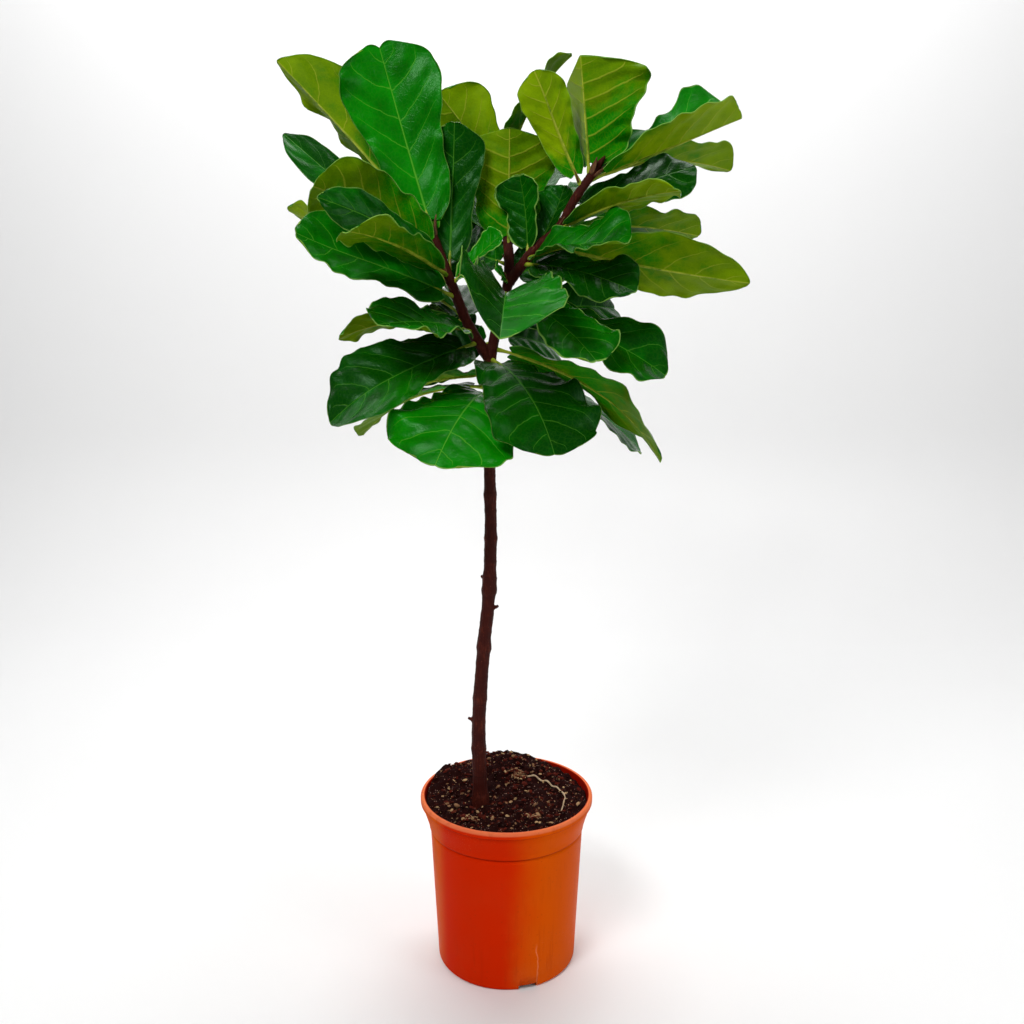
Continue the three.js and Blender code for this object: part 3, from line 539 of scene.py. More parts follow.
class Field:
    """A value, colour or vector that changes over a surface: one output of a shader node."""

    def __init__(self, tree, socket):
        self.tree = tree
        self.socket = socket

    def maths(self, operation, *others, clamp=False):
        """The result of a Math node that takes this value first."""
        sockets = dict(enumerate((self, *others)))
        return add(self.tree, "Math", sockets, operation=operation, use_clamp=clamp)[0]

    def __add__(self, other):
        return self.maths("ADD", other)

    def __sub__(self, other):
        return self.maths("SUBTRACT", other)

    def __mul__(self, other):
        return self.maths("MULTIPLY", other)

    def __abs__(self):
        return self.maths("ABSOLUTE")

    def scaled(self, factor, offset, clamp=False):
        """This value times a factor, plus an offset."""
        return self.maths("MULTIPLY_ADD", factor, offset, clamp=clamp)

    def larger(self, other):
        """The larger of this value and another."""
        return self.maths("MAXIMUM", other)

    def between(self, low, high, start=0.0, end=1.0):
        """Eases from start to end as this value goes from low to high."""
        sockets = {"Value": self, "From Min": low, "From Max": high, "To Min": start, "To Max": end}
        return add(self.tree, "MapRange", sockets, interpolation_type="SMOOTHSTEP")["Result"]

    def mix(self, first, second):
        """The first colour where this value is 0, going over to the second where it is 1."""
        return add(self.tree, "Mix", {0: self, 6: first, 7: second}, data_type="RGBA")[2]

    def grain(self, scale, detail=4.0, roughness=0.55):
        """The value of a noise texture at these coordinates."""
        sockets = {"Vector": self, "Scale": scale, "Detail": detail, "Roughness": roughness}
        return add(self.tree, "TexNoise", sockets)["Fac"]

    def cells(self, scale, feature="F1"):
        """The outputs of a texture of cells at these coordinates."""
        return add(self.tree, "TexVoronoi", {"Vector": self, "Scale": scale}, feature=feature)

    def parts(self):
        """The three parts of these coordinates."""
        found = add(self.tree, "SeparateXYZ", {0: self})
        return found[0], found[1], found[2]

    def at_height(self, height):
        """These coordinates with another height."""
        x, y, _ = self.parts()
        return add(self.tree, "CombineXYZ", {0: x, 1: y, 2: height})[0]


def feed(tree, socket, value):
    """Links a field to an input, or sets the input to a plain value."""
    if isinstance(value, Field):
        tree.links.new(value.socket, socket)
    else:
        socket.default_value = value


def outputs_of(tree, node):
    """A node's outputs as fields, by name and by number."""
    fields = [Field(tree, socket) for socket in node.outputs]
    named = {field.socket.name: field for field in reversed(fields)}
    return {**named, **dict(enumerate(fields))}


def add(tree, kind, sockets=None, **settings):
    """Adds a node, sets it up, feeds each named or numbered input, and returns its outputs."""
    node = tree.nodes.new("ShaderNode" + kind)
    for name, value in settings.items():
        setattr(node, name, value)
    for key, value in (sockets or {}).items():
        feed(tree, node.inputs[key], value)
    return outputs_of(tree, node)


def from_mesh(tree, name):
    """The three parts of a vector kept in the mesh, with the vector itself first."""
    vector = add(tree, "Attribute", attribute_name=name)["Vector"]
    return (vector, *vector.parts())


def start_group(name, inputs):
    """A shader node group with its named inputs. One without a default takes coordinates."""
    tree = bpy.data.node_groups.new(name, "ShaderNodeTree")
    for label, default in inputs.items():
        kind = "NodeSocketVector" if default is None else "NodeSocketFloat"
        socket = tree.interface.new_socket(label, in_out="INPUT", socket_type=kind)
        if default is not None:
            socket.default_value = default
    return tree, outputs_of(tree, tree.nodes.new("NodeGroupInput"))


def finish_group(tree, results):
    """Gives a shader node group its named outputs and what they put out."""
    for label in results:
        tree.interface.new_socket(label, in_out="OUTPUT", socket_type="NodeSocketFloat")
    last = tree.nodes.new("NodeGroupOutput")
    for label, value in results.items():
        feed(tree, last.inputs[label], value)
    return tree


def place_group(tree, builder, **values):
    """Puts a group, built once, in a material with its own values, and returns its outputs."""
    name = builder.__name__.replace("_", " ").title()
    node = tree.nodes.new("ShaderNodeGroup")
    node.node_tree = bpy.data.node_groups.get(name) or builder(name)
    for label, value in values.items():
        feed(tree, node.inputs[label.replace("_", " ").title()], value)
    return outputs_of(tree, node)


def blade_pattern(name):
    """The veins, network, edge and relief of a leaf, from the coordinates in its mesh."""
    tree, given = start_group(name, {"Vein Width": 0.0009, "Midrib Width": 0.0018, "Network Scale": 150.0})
    place, across, _, margin = from_mesh(tree, "blade_place")
    _, phase, gap, rise = from_mesh(tree, "blade_veins")
    _, tone_and_light, pale, halves = from_mesh(tree, "blade_looks")

    # Side veins where the phase is whole, a little wavy, and the midrib, both finer towards their ends.
    wavy = place.grain(40.0, 3.0).scaled(0.26, -0.13)
    off = abs((phase + wavy + 0.5).maths("FRACT") - 0.5) * gap
    wide = given["Vein Width"] * margin.between(0.0, 0.03, 0.25, 1.0)
    side = off.between(wide * 0.35, wide, 0.7, 0.0) * margin.between(0.001, 0.012)
    centre = abs(across)
    narrow = given["Midrib Width"] * rise.between(0.0, 1.0, 1.15, 0.4)
    lines = side.larger(centre.between(narrow * 0.4, narrow, 1.0, 0.0))
    halo = off.between(0.0, 0.007, 1.0, 0.0).larger(centre.between(0.001, 0.01, 1.0, 0.0))

    # The network of small veins in two sizes.
    scale = given["Network Scale"]
    coarse = place.cells(scale, "DISTANCE_TO_EDGE")["Distance"]
    fine = place.cells(scale * 2.7, "DISTANCE_TO_EDGE")["Distance"]
    net = coarse.between(0.02, 0.12, 1.0, 0.0).larger(fine.between(0.02, 0.14, 0.45, 0.0))

    # A pale margin of uneven width, partly the leaf's own and partly a painted highlight, and the tone of this half
    # of the leaf, which paints light and shade on it.
    far = pale * (place.grain(55.0, 2.0) * 0.0034)
    edge = margin.between(0.0002, far + 0.0006, 1.0, 0.0) * pale.scaled(0.65, 0.25)
    tone = (across.between(-0.004, 0.004) - 0.5).scaled(halves, tone_and_light)
    relief = net.scaled(-0.16, lines.scaled(-0.8, 1.0))
    return finish_group(tree, {
        "Veins": lines, "Halo": halo, "Network": net, "Edge": edge, "Tone": tone, "Rise": rise,
        "Mottle": place.grain(22.0, 5.0, 0.6), "Relief": place.grain(900.0, 3.0).scaled(0.06, relief),
    })


def dust_and_specks(name):
    """Uneven patches, fine specks and short scratches over a surface."""
    tree, given = start_group(name, {
        "Vector": None, "Patch Scale": 12.0, "Speck Scale": 240.0, "Stretch": 1.0,
    })
    where = given["Vector"]
    spots = where.cells(given["Speck Scale"])
    chosen = spots["Color"].parts()[0].maths("GREATER_THAN", 0.8)
    flat = where.at_height(where.parts()[2].maths("DIVIDE", given["Stretch"]))
    return finish_group(tree, {
        "Patches": where.grain(given["Patch Scale"], 6.0, 0.62).between(0.42, 0.68),
        "Specks": spots["Distance"].between(0.12, 0.3, 1.0, 0.0) * chosen,
        "Scratches": flat.grain(420.0, 2.0, 0.5).between(0.66, 0.74)
        * where.grain(9.0, 2.0).between(0.5, 0.62),
    })


def marks_on(where, **values):
    """The patches, specks and scratches of a material, with its own values."""
    return place_group(where.tree, dust_and_specks, vector=where, **values)


def start_material(name):
    """A material with only its Principled shader, and the object coordinates of its surface."""
    material = bpy.data.materials.new(name)
    material.use_nodes = True
    return material, add(material.node_tree, "TexCoord")["Object"]


def finish_material(material, base, rough, relief, depth, strength, specular=0.5, tint=(1, 1, 1, 1)):
    """Links the colour, roughness and relief, and sets how strongly the surface mirrors."""
    tree = material.node_tree
    shader = next(node for node in tree.nodes if node.type == "BSDF_PRINCIPLED")
    bump = add(tree, "Bump", {"Height": relief, "Distance": depth, "Strength": strength})["Normal"]
    for key, value in (("Base Color", base), ("Roughness", rough), ("Normal", bump),
                       ("Specular IOR Level", specular), ("Specular Tint", tint)):
        feed(tree, shader.inputs[key], value)
    return material


# ---------------------------------------------------------------------------------------------
# Leaves
# ---------------------------------------------------------------------------------------------


def upper_face(look):
    """Deep glossy green with pale veins and a pale rim."""
    material, _ = start_material("leaf_upper_face")
    found = place_group(material.node_tree, blade_pattern)
    # Painted light and shade: each leaf's tone, with its lighter and darker halves, moves the face between deep and
    # light green.
    tone_and_light = found["Halo"].scaled(0.14, found["Mottle"].scaled(1.3, -0.38))
    tone_and_light = found["Tone"].scaled(0.4, tone_and_light, clamp=True)
    base = tone_and_light.mix(look.top, look.top_light)
    # Painted shade: the leaves with the lowest tone go over to near black.
    base = found["Tone"].between(-1.0, -0.3, 0.6, 0.0).mix(base, SHADED_LEAF)
    base = (found["Network"] * 0.04).mix(base, look.vein)
    base = (found["Veins"] * found["Tone"].scaled(0.2, 0.42)).mix(base, look.vein)
    # The pale rim, partly the leaf's own margin and partly a painted highlight.
    base = (found["Edge"] * 0.9).mix(base, look.edge)
    rough = found["Veins"].scaled(0.12, found["Mottle"].scaled(0.34, 0.06))
    return finish_material(material, base, rough, found["Relief"], 0.0007, 0.8, 0.13, (0.5, 1.0, 0.55, 1))


def underside(look):
    """Matt green to olive with raised veins, yellower towards the tip where the leaf is lit through."""
    material, _ = start_material("leaf_underside")
    found = place_group(material.node_tree, blade_pattern, vein_width=0.0013, midrib_width=0.0026)
    # Painted shade and light: green near the stalk and in patches, where the underside lies in shade, olive towards
    # the tip, and yellow green where the leaf is lit through, all moved by each leaf's tone.
    uneven = found["Tone"].scaled(0.25, found["Mottle"].scaled(1.8, -0.5))
    risen = (found["Rise"] + uneven).between(0.6, 1.15)
    lit = found["Tone"].scaled(0.5, found["Mottle"].scaled(1.2, -0.5), clamp=True)
    base = risen.mix(look.under_green, look.under)
    base = (lit * risen).mix(base, look.under_light)
    base = (found["Network"] * 0.1).mix(base, look.under_light)
    base = (found["Veins"] * 0.7).mix(base, look.vein_under)
    # The pale rim, partly the leaf's own margin and partly a painted highlight.
    base = (found["Edge"] * 0.8).mix(base, look.edge)
    rough = found["Mottle"].scaled(0.2, 0.42)
    relief = found["Relief"] * -1.0
    return finish_material(material, base, rough, relief, 0.0009, 0.8, 0.06, (0.8, 1.0, 0.4, 1))


def leaf_stalk(look):
    """Pale green stalk and midrib, with uneven patches, a fine grain and brown flecks."""
    material, where = start_material("leaf_stalk")
    marks = marks_on(where, speck_scale=520.0, patch_scale=60.0)
    base = marks["Patches"].mix(look.vein_under, look.under)
    base = (marks["Specks"] * 0.5).mix(base, STALK_FLECK)
    rough = marks["Patches"].scaled(0.15, 0.38)
    return finish_material(material, base, rough, where.grain(700.0), 0.0003, 0.5, 0.2)


class Leaf:
    """One leaf's directions and its midrib, worked out from its row."""

    def __init__(self, row):
        (self.name, stem, height, tip, face, self.width, self.bow, self.left, self.right,
         self.cup, self.wave, self.phase, self.curl) = row[:13]
        self.twist, self.taper, self.notch = row[13:] or (0, 0, 0.03)
        self.root = stem_point(stem, height)
        reach = np.array(tip, float) - self.root
        self.length = np.linalg.norm(reach)
        self.ahead = reach / self.length
        up = np.array(face, float)
        self.up = unit(up - self.ahead * (up @ self.ahead))
        self.side = np.cross(self.ahead, self.up)
        self.stalk = min(LONGEST_STALK, STALK_LENGTH / self.length)
        self.seed = 10 * sum(ord(letter) * (i + 1) for i, letter in enumerate(self.name))
        halves = HALF_SHADING.get(self.name, 0.35 * math.sin(self.seed))
        self.looks = (*LEAF_LOOKS.get(self.name, BACK_LEAF_LOOKS), halves)

    def midrib(self, places):
        """The midrib's points at shares of the length, from the root to the tip."""
        places = np.asarray(places, float)
        end = np.maximum(0, (places - CURL_START) / (1 - CURL_START)) ** 2
        along = self.length * (places - 0.3 * abs(self.curl) * end)
        lift = self.length * (4 * places * (1 - places) * self.bow + self.curl * end)
        return self.root + along[..., None] * self.ahead + lift[..., None] * self.up

    def frame(self, places):
        """The midrib's points with the sideways and upward directions there."""
        places = np.asarray(places, float)
        ahead = unit(self.midrib(places + 0.01) - self.midrib(places - 0.01))
        turn = math.radians(self.twist) * np.clip((places - self.stalk) / (1 - self.stalk), 0, 1)[..., None]
        side = np.cos(turn) * self.side + np.sin(turn) * self.up
        side = unit(side - ahead * (ahead * side).sum(-1, keepdims=True))
        return self.midrib(places), side, np.cross(side, ahead)


def side_vein_phase(leaf, places, out, columns):
    """Where each point lies between the side veins: a whole number is on a vein."""
    swept = places - 0.12 * out - 0.15 * out ** 2
    opposite = np.where(columns > 0, 0.5 * noise.noise(Vector((leaf.seed, 0.5, 0))) + 0.2, 0)
    return VEIN_PAIRS * swept + opposite + 0.6


def wander(leaf, place, column, often, layer, across=0.0):
    """A smooth uneven value round 0 for each point, different for each leaf and on each half."""
    flat = np.empty(place.size)
    for i, (p, c) in enumerate(zip(place.ravel(), column.ravel())):
        half = c * across if across else math.copysign(3.1, c)
        flat[i] = noise.noise(Vector((leaf.seed + p * often, half, layer)))
    return flat.reshape(place.shape)


def blade_middle(leaf, places, columns, look):
    """The blade's middle surface as a grid of points, with its pattern coordinates."""
    place, column = np.meshgrid(places, columns, indexing="ij")
    out = np.abs(column)
    # The tip is notched and rounded, and the base heart-shaped.
    near_tip = np.maximum(0, (place - 0.6) / 0.4) ** 2
    near_base = np.maximum(0, 1 - place / 0.3) ** 2
    shift = -near_tip * (leaf.notch * (1 - out) ** 2 + 0.045 * (1 - leaf.taper) * out ** 2)
    shift -= 0.03 * near_base * np.sin(math.pi / 2 * out)
    point, side, up = leaf.frame(leaf.stalk + (1 - leaf.stalk) * (place + shift))
    narrower = 1 - leaf.taper * np.maximum(0, (place - 0.5) / 0.5) ** 1.3
    half = leaf.width / 2 * smooth_outline(place) * narrower
    phase = side_vein_phase(leaf, place, out, column)
    swell = 0.5 - 0.5 * np.cos(2 * math.pi * phase)
    uneven = 0.03 * (swell - 0.5) + 0.05 * wander(leaf, place, column, 5, 7)
    reach = out * half * (1 + uneven * out ** 4)
    # The halves fold up, cup and wave, swell between the side veins, and ruffle at the margin.
    fold = np.radians(np.where(column > 0, leaf.right, leaf.left))
    start = leaf.phase + np.where(column > 0, 0, 0.37)
    room = np.minimum(1, half / (0.35 * leaf.width))
    lift = reach * np.sin(fold) + leaf.cup * reach ** 2 / (leaf.width / 2)
    lift += leaf.wave * out ** 1.6 * np.sin(2 * math.pi * (1.6 * place + start)) * room
    ends = np.clip(place * 6, 0, 1) * np.clip((1 - place) * 8, 0, 1)
    size = leaf.width / 120
    lift += look.quilting / MM * size * swell * np.sin(math.pi * np.clip(out, 0, 1)) ** 0.6 * ends
    lift += look.ruffle / MM * size * out ** 3 * 2 * wander(leaf, place, column, 9, 1) * ends
    lift += 5 * size * np.maximum(0, (out - 0.75) / 0.25) ** 2 * wander(leaf, place, column, 3, 4) * room
    lift += 4 * wander(leaf, place * 1.6, column, 2.2, 9, 1.9) * out
    points = point + (np.sign(column) * reach * np.cos(fold))[..., None] * side + lift[..., None] * up
    along = place * leaf.length * (1 - leaf.stalk)
    margin = np.minimum((1 - out) * half, (1 - place) * leaf.length * 0.9)
    return points, (column * half, along, margin), phase, place


def blade_columns():
    """Places across a blade, closer together at the midrib and at the edges."""
    outward = [0.03, 0.075, 0.14, 0.22, 0.31, 0.4, 0.49, 0.58, 0.67, 0.76, 0.84, 0.91, 0.965, 1.0]
    return np.array([-value for value in reversed(outward)] + [0.0] + outward)


def blade_places():
    """Places along a blade, closer together at its two ends."""
    even = np.linspace(0, 1, 52)
    return even - 0.35 / (2 * math.pi) * np.sin(2 * math.pi * even)


def add_blade(shell, leaf, look):
    """Adds both faces of a blade and the rounded rim between them."""
    places, columns = blade_places(), blade_columns()
    grid, coordinates, phase, rise = blade_middle(leaf, places, columns, look)
    normals, turned = surface_normals(grid, leaf.up)
    half = look.thickness / MM / 2
    rows, wide = len(places), len(columns)
    gap = np.full_like(phase, leaf.length * (1 - leaf.stalk) / VEIN_PAIRS * VEIN_SLANT * MM)
    place = np.stack(coordinates, -1) * MM
    veins = np.stack([phase, gap, rise], -1)
    looks = np.tile(leaf.looks, (rows * wide, 1))
    flat = {"blade_place": place.reshape(-1, 3), "blade_veins": veins.reshape(-1, 3), "blade_looks": looks}
    taper = half * (1 - 0.35 * np.abs(columns) ** 8)[None, :, None]
    upper = (grid + normals * taper).reshape(-1, 3)
    lower = (grid - normals * taper).reshape(-1, 3)
    base = len(shell.points)
    shell.add(upper, grid_faces(rows, wide, flip=turned), 0, **flat)
    shell.add(lower, grid_faces(rows, wide, flip=not turned), 1, **flat)
    add_rim(shell, base, grid, rows, wide, turned, flat)


def add_rim(shell, base, grid, rows, wide, turned, flat):
    """Joins the two faces all the way round, over a line of points that stands out a little."""
    loop = rim_loop(rows, wide)
    points = grid.reshape(-1, 3)
    line = points[loop]
    ahead = unit(np.roll(line, -1, axis=0) - np.roll(line, 1, axis=0))
    upper = np.array(shell.points[base:base + rows * wide])[loop] / MM
    outward = unit(np.cross(ahead, unit(upper - line)))
    if ((line - points.mean(0)) * outward).sum() < 0:
        outward = -outward
    start = len(shell.points)
    shell.add(line + outward * RIM_BULGE, [], **{key: value[loop] for key, value in flat.items()})
    count = len(loop)
    for k in range(count):
        after = (k + 1) % count
        top = (base + loop[k], base + loop[after], start + after, start + k)
        low = (start + k, start + after, base + rows * wide + loop[after], base + rows * wide + loop[k])
        shell.faces += [top, low] if turned else [top[::-1], low[::-1]]
    shell.slots.extend([0, 1] * count)


def add_stalk(shell, leaf, look):
    """Adds the stalk and the midrib that it becomes, thick at its foot and fine at the tip."""
    places = np.concatenate([np.linspace(0, leaf.stalk, 9), np.linspace(leaf.stalk, MIDRIB_END, 34)[1:]])
    point, side, up = leaf.frame(places)
    radius = look.rib / MM * min(1, 0.55 + leaf.length / 420)
    blade = np.clip((places - leaf.stalk) / (MIDRIB_END - leaf.stalk), 0, 1)
    foot = np.exp(-((places * leaf.length - 7) / 6) ** 2)
    radii = radius * (1 - 0.78 * blade ** 0.8) + 1.1 * foot
    sunk = (radii - look.thickness / MM * 0.42) * np.clip(blade * 18, 0, 1)
    points, faces = tube(point - up * sunk[:, None], radii, 10, across=side[0])
    blank = np.zeros((len(points), 3))
    shell.add(points, faces, 2, blade_place=blank, blade_veins=blank, blade_looks=blank)


class FIG_OT_leaves(bpy.types.Operator):
    """Build every leaf with its blade, rim, stalk and midrib"""

    bl_idname = "fig.leaves"
    bl_label = "Leaves"

    def execute(self, context):
        look = context.scene.fig_leaf
        materials = [upper_face(look), underside(look), leaf_stalk(look)]
        for row in LEAVES:
            leaf = Leaf(row)
            shell = Shell()
            add_blade(shell, leaf, look)
            add_stalk(shell, leaf, look)
            ready(shell.make("blade_" + leaf.name, materials), "leaf_" + leaf.name)
        return {"FINISHED"}


# ---------------------------------------------------------------------------------------------
# Trunk, branches and buds
# ---------------------------------------------------------------------------------------------


def stem_radii(name, line):
    """The radius along a stem, with the trunk's knots and flare, and the rings of old leaf scars."""
    root, tip = STEMS[name]["radii"]
    radii = root + (tip - root) * np.linspace(0, 1, len(line))
    heights = line[:, 2]
    if name == "trunk":
        for at, size, reach in [(at, size, 7) for at, size in TRUNK_KNOTS] + [TRUNK_FLARE]:
            radii = radii + size * np.exp(-((heights - at) / reach) ** 2)
    rings = np.abs(((heights + 7 * np.sin(heights / 31)) / SCAR_GAP) % 1 - 0.5)
    return radii + 0.45 * np.exp(-(rings / 0.09) ** 2)


def trunk_shell():
    """The trunk, its branches with their buds and its twig stubs, as closed tubes that overlap."""
    shell = Shell()
    for name, stem in STEMS.items():
        line = even_line(STEM_LINES[name], 2.4)
        radii = stem_radii(name, line)
        ahead = unit(line[-1] - line[-2])
        bud = [line[-1] + ahead * BUD_LENGTH * step for step, _ in BUD_SHAPE]
        thin = np.array([part for _, part in BUD_SHAPE]) * stem["radii"][1]
        shell.add(*tube(np.vstack([line, bud]), np.concatenate([radii, thin]), 26))
    for height, compass, reach in TWIG_STUBS:
        root = stem_point("trunk", height)
        angle = math.radians(compass)
        way = unit((math.cos(angle), math.sin(angle), 0.5))
        line = [root + way * (8 + reach) * step for step, _ in STUB_SHAPE]
        shell.add(*tube(line, [radius for _, radius in STUB_SHAPE], 14))
    return shell


def fused(piece, size):
    """The piece's overlapping tubes fused into one skin."""
    modifier = piece.modifiers.new("Fuse", "REMESH")
    modifier.mode = "VOXEL"
    modifier.voxel_size = size
    modifier.adaptivity = 0
    modifier.use_smooth_shade = True
    return applied(piece)


def roughen(piece, height):
    """Raises long shallow ridges and small bumps in the skin."""
    mesh = piece.data
    places = [vertex.co.copy() for vertex in mesh.vertices]
    normals = [vertex.normal.copy() for vertex in mesh.vertices]
    moved = []
    for place, normal in zip(places, normals):
        x, y, z = place / MM
        ridges = noise.noise(Vector((x * 0.35, y * 0.35, z * 0.045)))
        bumps = noise.noise(Vector((x * 0.6 + 9, y * 0.6 + 4, z * 0.5 + 2)))
        moved.extend(place + normal * height * (ridges + 0.5 * bumps))
    mesh.vertices.foreach_set("co", moved)
    mesh.update()


def bark(look):
    """Dark maroon bark with fine cracks, pale dry patches and small raised pores."""
    material, where = start_material("fig_bark")
    marks = marks_on(where, patch_scale=55.0, speck_scale=330.0)
    height = where.parts()[2]
    cracks = where.at_height(height * 0.12).grain(520.0, 6.0, 0.7)
    bands = add(where.tree, "CombineXYZ", {2: height})[0].grain(95.0, 4.0, 0.7)
    dry = marks["Patches"] * cracks.between(0.4, 0.7)
    base = (dry * 0.75).mix(look.bark, look.bark_light)
    base = (marks["Specks"] * 0.7).mix(base, look.bark_light)
    base = bands.between(0.56, 0.66, 0.0, 0.6).mix(base, BARK_BAND)
    relief = marks["Specks"].scaled(0.35, cracks)
    return finish_material(material, base, cracks.scaled(0.3, 0.42), relief, 0.0014, 0.85, 0.12)


def papery(look):
    """Dry brown sheath with fine lengthwise lines."""
    material, where = start_material("bud_sheath")
    lines = where.at_height(where.parts()[2] * 0.15).grain(900.0, 4.0, 0.6)
    base = lines.between(0.35, 0.65).mix(SHEATH_SHADE, look.sheath)
    return finish_material(material, base, lines.scaled(0.3, 0.45), lines, 0.0005, 0.8, 0.3)


def add_sheath(shell, foot, way, outward, size, width):
    """Adds one pointed papery scale that starts at foot and leans outwards."""
    way, outward = unit(way), unit(outward)
    side = unit(np.cross(way, outward))
    rows, columns = 9, 7
    grid = np.zeros((rows, columns, 3))
    for i in range(rows):
        t = i / (rows - 1)
        half = width * math.sin(math.pi * (0.2 + 0.78 * t)) ** 0.8 * (1 - t * 0.35)
        for k in range(columns):
            c = 2 * k / (columns - 1) - 1
            bend = 0.28 * t * t * size + 0.35 * width * (1 - c * c)
            grid[i, k] = foot + way * size * t + side * half * c + outward * bend
    normals, flip = surface_normals(grid, outward)
    half_thick = normals * SHEATH_THICKNESS / 2
    count = rows * columns
    faces = grid_faces(rows, columns, flip=flip)
    faces += [tuple(corner + count for corner in face[::-1]) for face in faces]
    loop = rim_loop(rows, columns)
    for corner, after in zip(loop, loop[1:] + loop[:1]):
        face = (corner, after, after + count, corner + count)
        faces.append(face[::-1] if flip else face)
    shell.add(np.concatenate([grid + half_thick, grid - half_thick]).reshape(-1, 3), faces)


def sheath_shell():
    """Papery sheaths round each bud, and small ones where leaves leave the branches."""
    shell = Shell()
    chance = random.Random(11)
    for name, stem in STEMS.items():
        line = STEM_LINES[name]
        tip, way = line[-1], unit(line[-1] - line[-4])
        for k in range(4):
            angle = k * 1.75 + 0.6
            outward = np.array([math.cos(angle), math.sin(angle), 0.15])
            outward = unit(outward - way * (outward @ way))
            foot = tip + outward * stem["radii"][1] * 0.85 - way * 3
            add_sheath(shell, foot, way + outward * 0.12, outward, chance.uniform(19, 27), 4.2)
    for row in LEAVES:
        if row[2] < LOWEST_SHEATH or chance.random() < 0.35:
            continue
        leaf = Leaf(row)
        outward = unit(leaf.ahead * (1, 1, 0.3))
        foot = leaf.root + outward * 6.4 + np.array([0, 0, 3.5])
        way = np.array([0, 0, 1.0]) + outward * 0.35
        add_sheath(shell, foot, way, outward, chance.uniform(9, 15), chance.uniform(2.2, 3.2))
    return shell


class FIG_OT_trunk(bpy.types.Operator):
    """Build the trunk with its branches, twig stubs and buds"""

    bl_idname = "fig.trunk"
    bl_label = "Trunk"

    def execute(self, context):
        look = context.scene.fig_stem
        piece = fused(trunk_shell().make("bark", []), look.detail)
        roughen(piece, look.ridge)
        piece.data.materials.clear()
        piece.data.materials.append(bark(look))
        ready(piece, "trunk")
        ready(sheath_shell().make("bud_sheaths", [papery(look)]), None)
        return {"FINISHED"}


# ---------------------------------------------------------------------------------------------
# Potting mix
# ---------------------------------------------------------------------------------------------


def soil_height(x, y):
    """How high the potting mix lies at a place."""
    height = SOIL_HEIGHT
    height += sum(rise * math.exp(-((x - cx) ** 2 + (y - cy) ** 2) / spread ** 2)
                  for cx, cy, rise, spread in SOIL_HEAPS)
    lumps = math.sin(x * 0.21 + 1.3) * math.cos(y * 0.19) + 0.6 * math.sin(x * 0.11 - y * 0.33 + 0.7)
    return height + SOIL_LUMP * lumps


def wall_radius(height):
    """The radius of the pot's outside at a height under the rim."""
    known = np.array(POT_OUTSIDE)
    return float(np.interp(height, known[:, 0], known[:, 1]))


def soil_shell():
    """The block of mix, fine and crumbly on top."""
    shell = Shell()
    around, rings = 160, 64
    gap = POT_WALL + 0.4
    foot = wall_radius(POT_FOOT) - POT_FOOT
    edge = wall_radius(227) - gap
    profile = rounded((foot, POT_FOOT), POT_FOOT - gap, -80, 0, 4)
    profile += [(wall_radius(height) - gap, height) for height in (60, 120, 180, 199, 208, 217, 225)]
    angles = np.arange(around) * 2 * math.pi / around
    points = [(radius * math.cos(a), radius * math.sin(a), height)
              for radius, height in profile for a in angles]
    for i in range(rings, 0, -1):
        for angle in angles:
            x, y = edge * (i / rings) * math.cos(angle), edge * (i / rings) * math.sin(angle)
            rough = noise.fractal(Vector((x * 0.11, y * 0.11, 0)), 0.9, 2.2, 5) * 1.9
            points.append((x, y, soil_height(x, y) + rough - 1.0))
    faces = turned_faces(points, around, gap, soil_height(0, 0) - 1)
    shell.add(points, faces, crumb_hue=np.full(len(points), 0.1))
    return shell


def rounded_block():
    """The corners and faces of a small rough pebble."""
    form = bmesh.new()
    bmesh.ops.create_icosphere(form, subdivisions=1, radius=1)
    bmesh.ops.subdivide_edges(form, edges=form.edges, cuts=1, use_grid_fill=True, smooth=0.6)
    points = np.array([vertex.co for vertex in form.verts])
    faces = [tuple(vertex.index for vertex in face.verts) for face in form.faces]
    form.free()
    return points, faces


def crumb_shell(look):
    """Crumbs of peat, chips of bark and a few pale bits, lying on the mix."""
    shell = Shell()
    chance = random.Random(5)
    block, faces = rounded_block()
    trunk_x, trunk_y, _ = stem_point("trunk", 240)
    largest = look.crumb_size / MM / 2
    for number in range(look.crumbs):
        spread = math.sqrt(chance.random()) * CRUMB_SPREAD
        angle = chance.uniform(0, 2 * math.pi)
        x, y = spread * math.cos(angle), spread * math.sin(angle)
        if number % CLUMP_EVERY == 0:
            cx, cy, wide = PALE_CLUMPS[number // CLUMP_EVERY % len(PALE_CLUMPS)]
            x, y = cx + wide / CRUMB_SPREAD * x, cy + wide / 140 * y
        if math.hypot(x - trunk_x, y - trunk_y) < CLEAR_OF_TRUNK:
            continue
        size = largest * (0.16 + 0.84 * chance.random() ** 3)
        hue = chance.choice(CRUMB_HUES)
        for cx, cy, wide in PALE_CLUMPS:
            if math.hypot(x - cx, (y - cy) * 1.3) < wide:
                hue, size = chance.uniform(0.45, 1), max(size, largest * chance.uniform(0.3, 0.7))
        if hue > 0.85:
            hue, size = chance.uniform(0.85, 1), size * 0.8
        stretch = np.array([1, chance.uniform(0.4, 0.8), chance.uniform(0.25, 0.6)]) * size
        turn = turned_about(chance.uniform(0, 6.28), chance.uniform(-0.5, 0.5), chance.uniform(-0.5, 0.5))
        jitter = np.array([[chance.uniform(0.75, 1.25)] for _ in range(len(block))])
        spot = np.array([x, y, soil_height(x, y) + size * 0.2 + 0.5])
        shell.add((block * jitter * stretch) @ turn.T + spot, faces, crumb_hue=np.full(len(block), hue))
    return shell


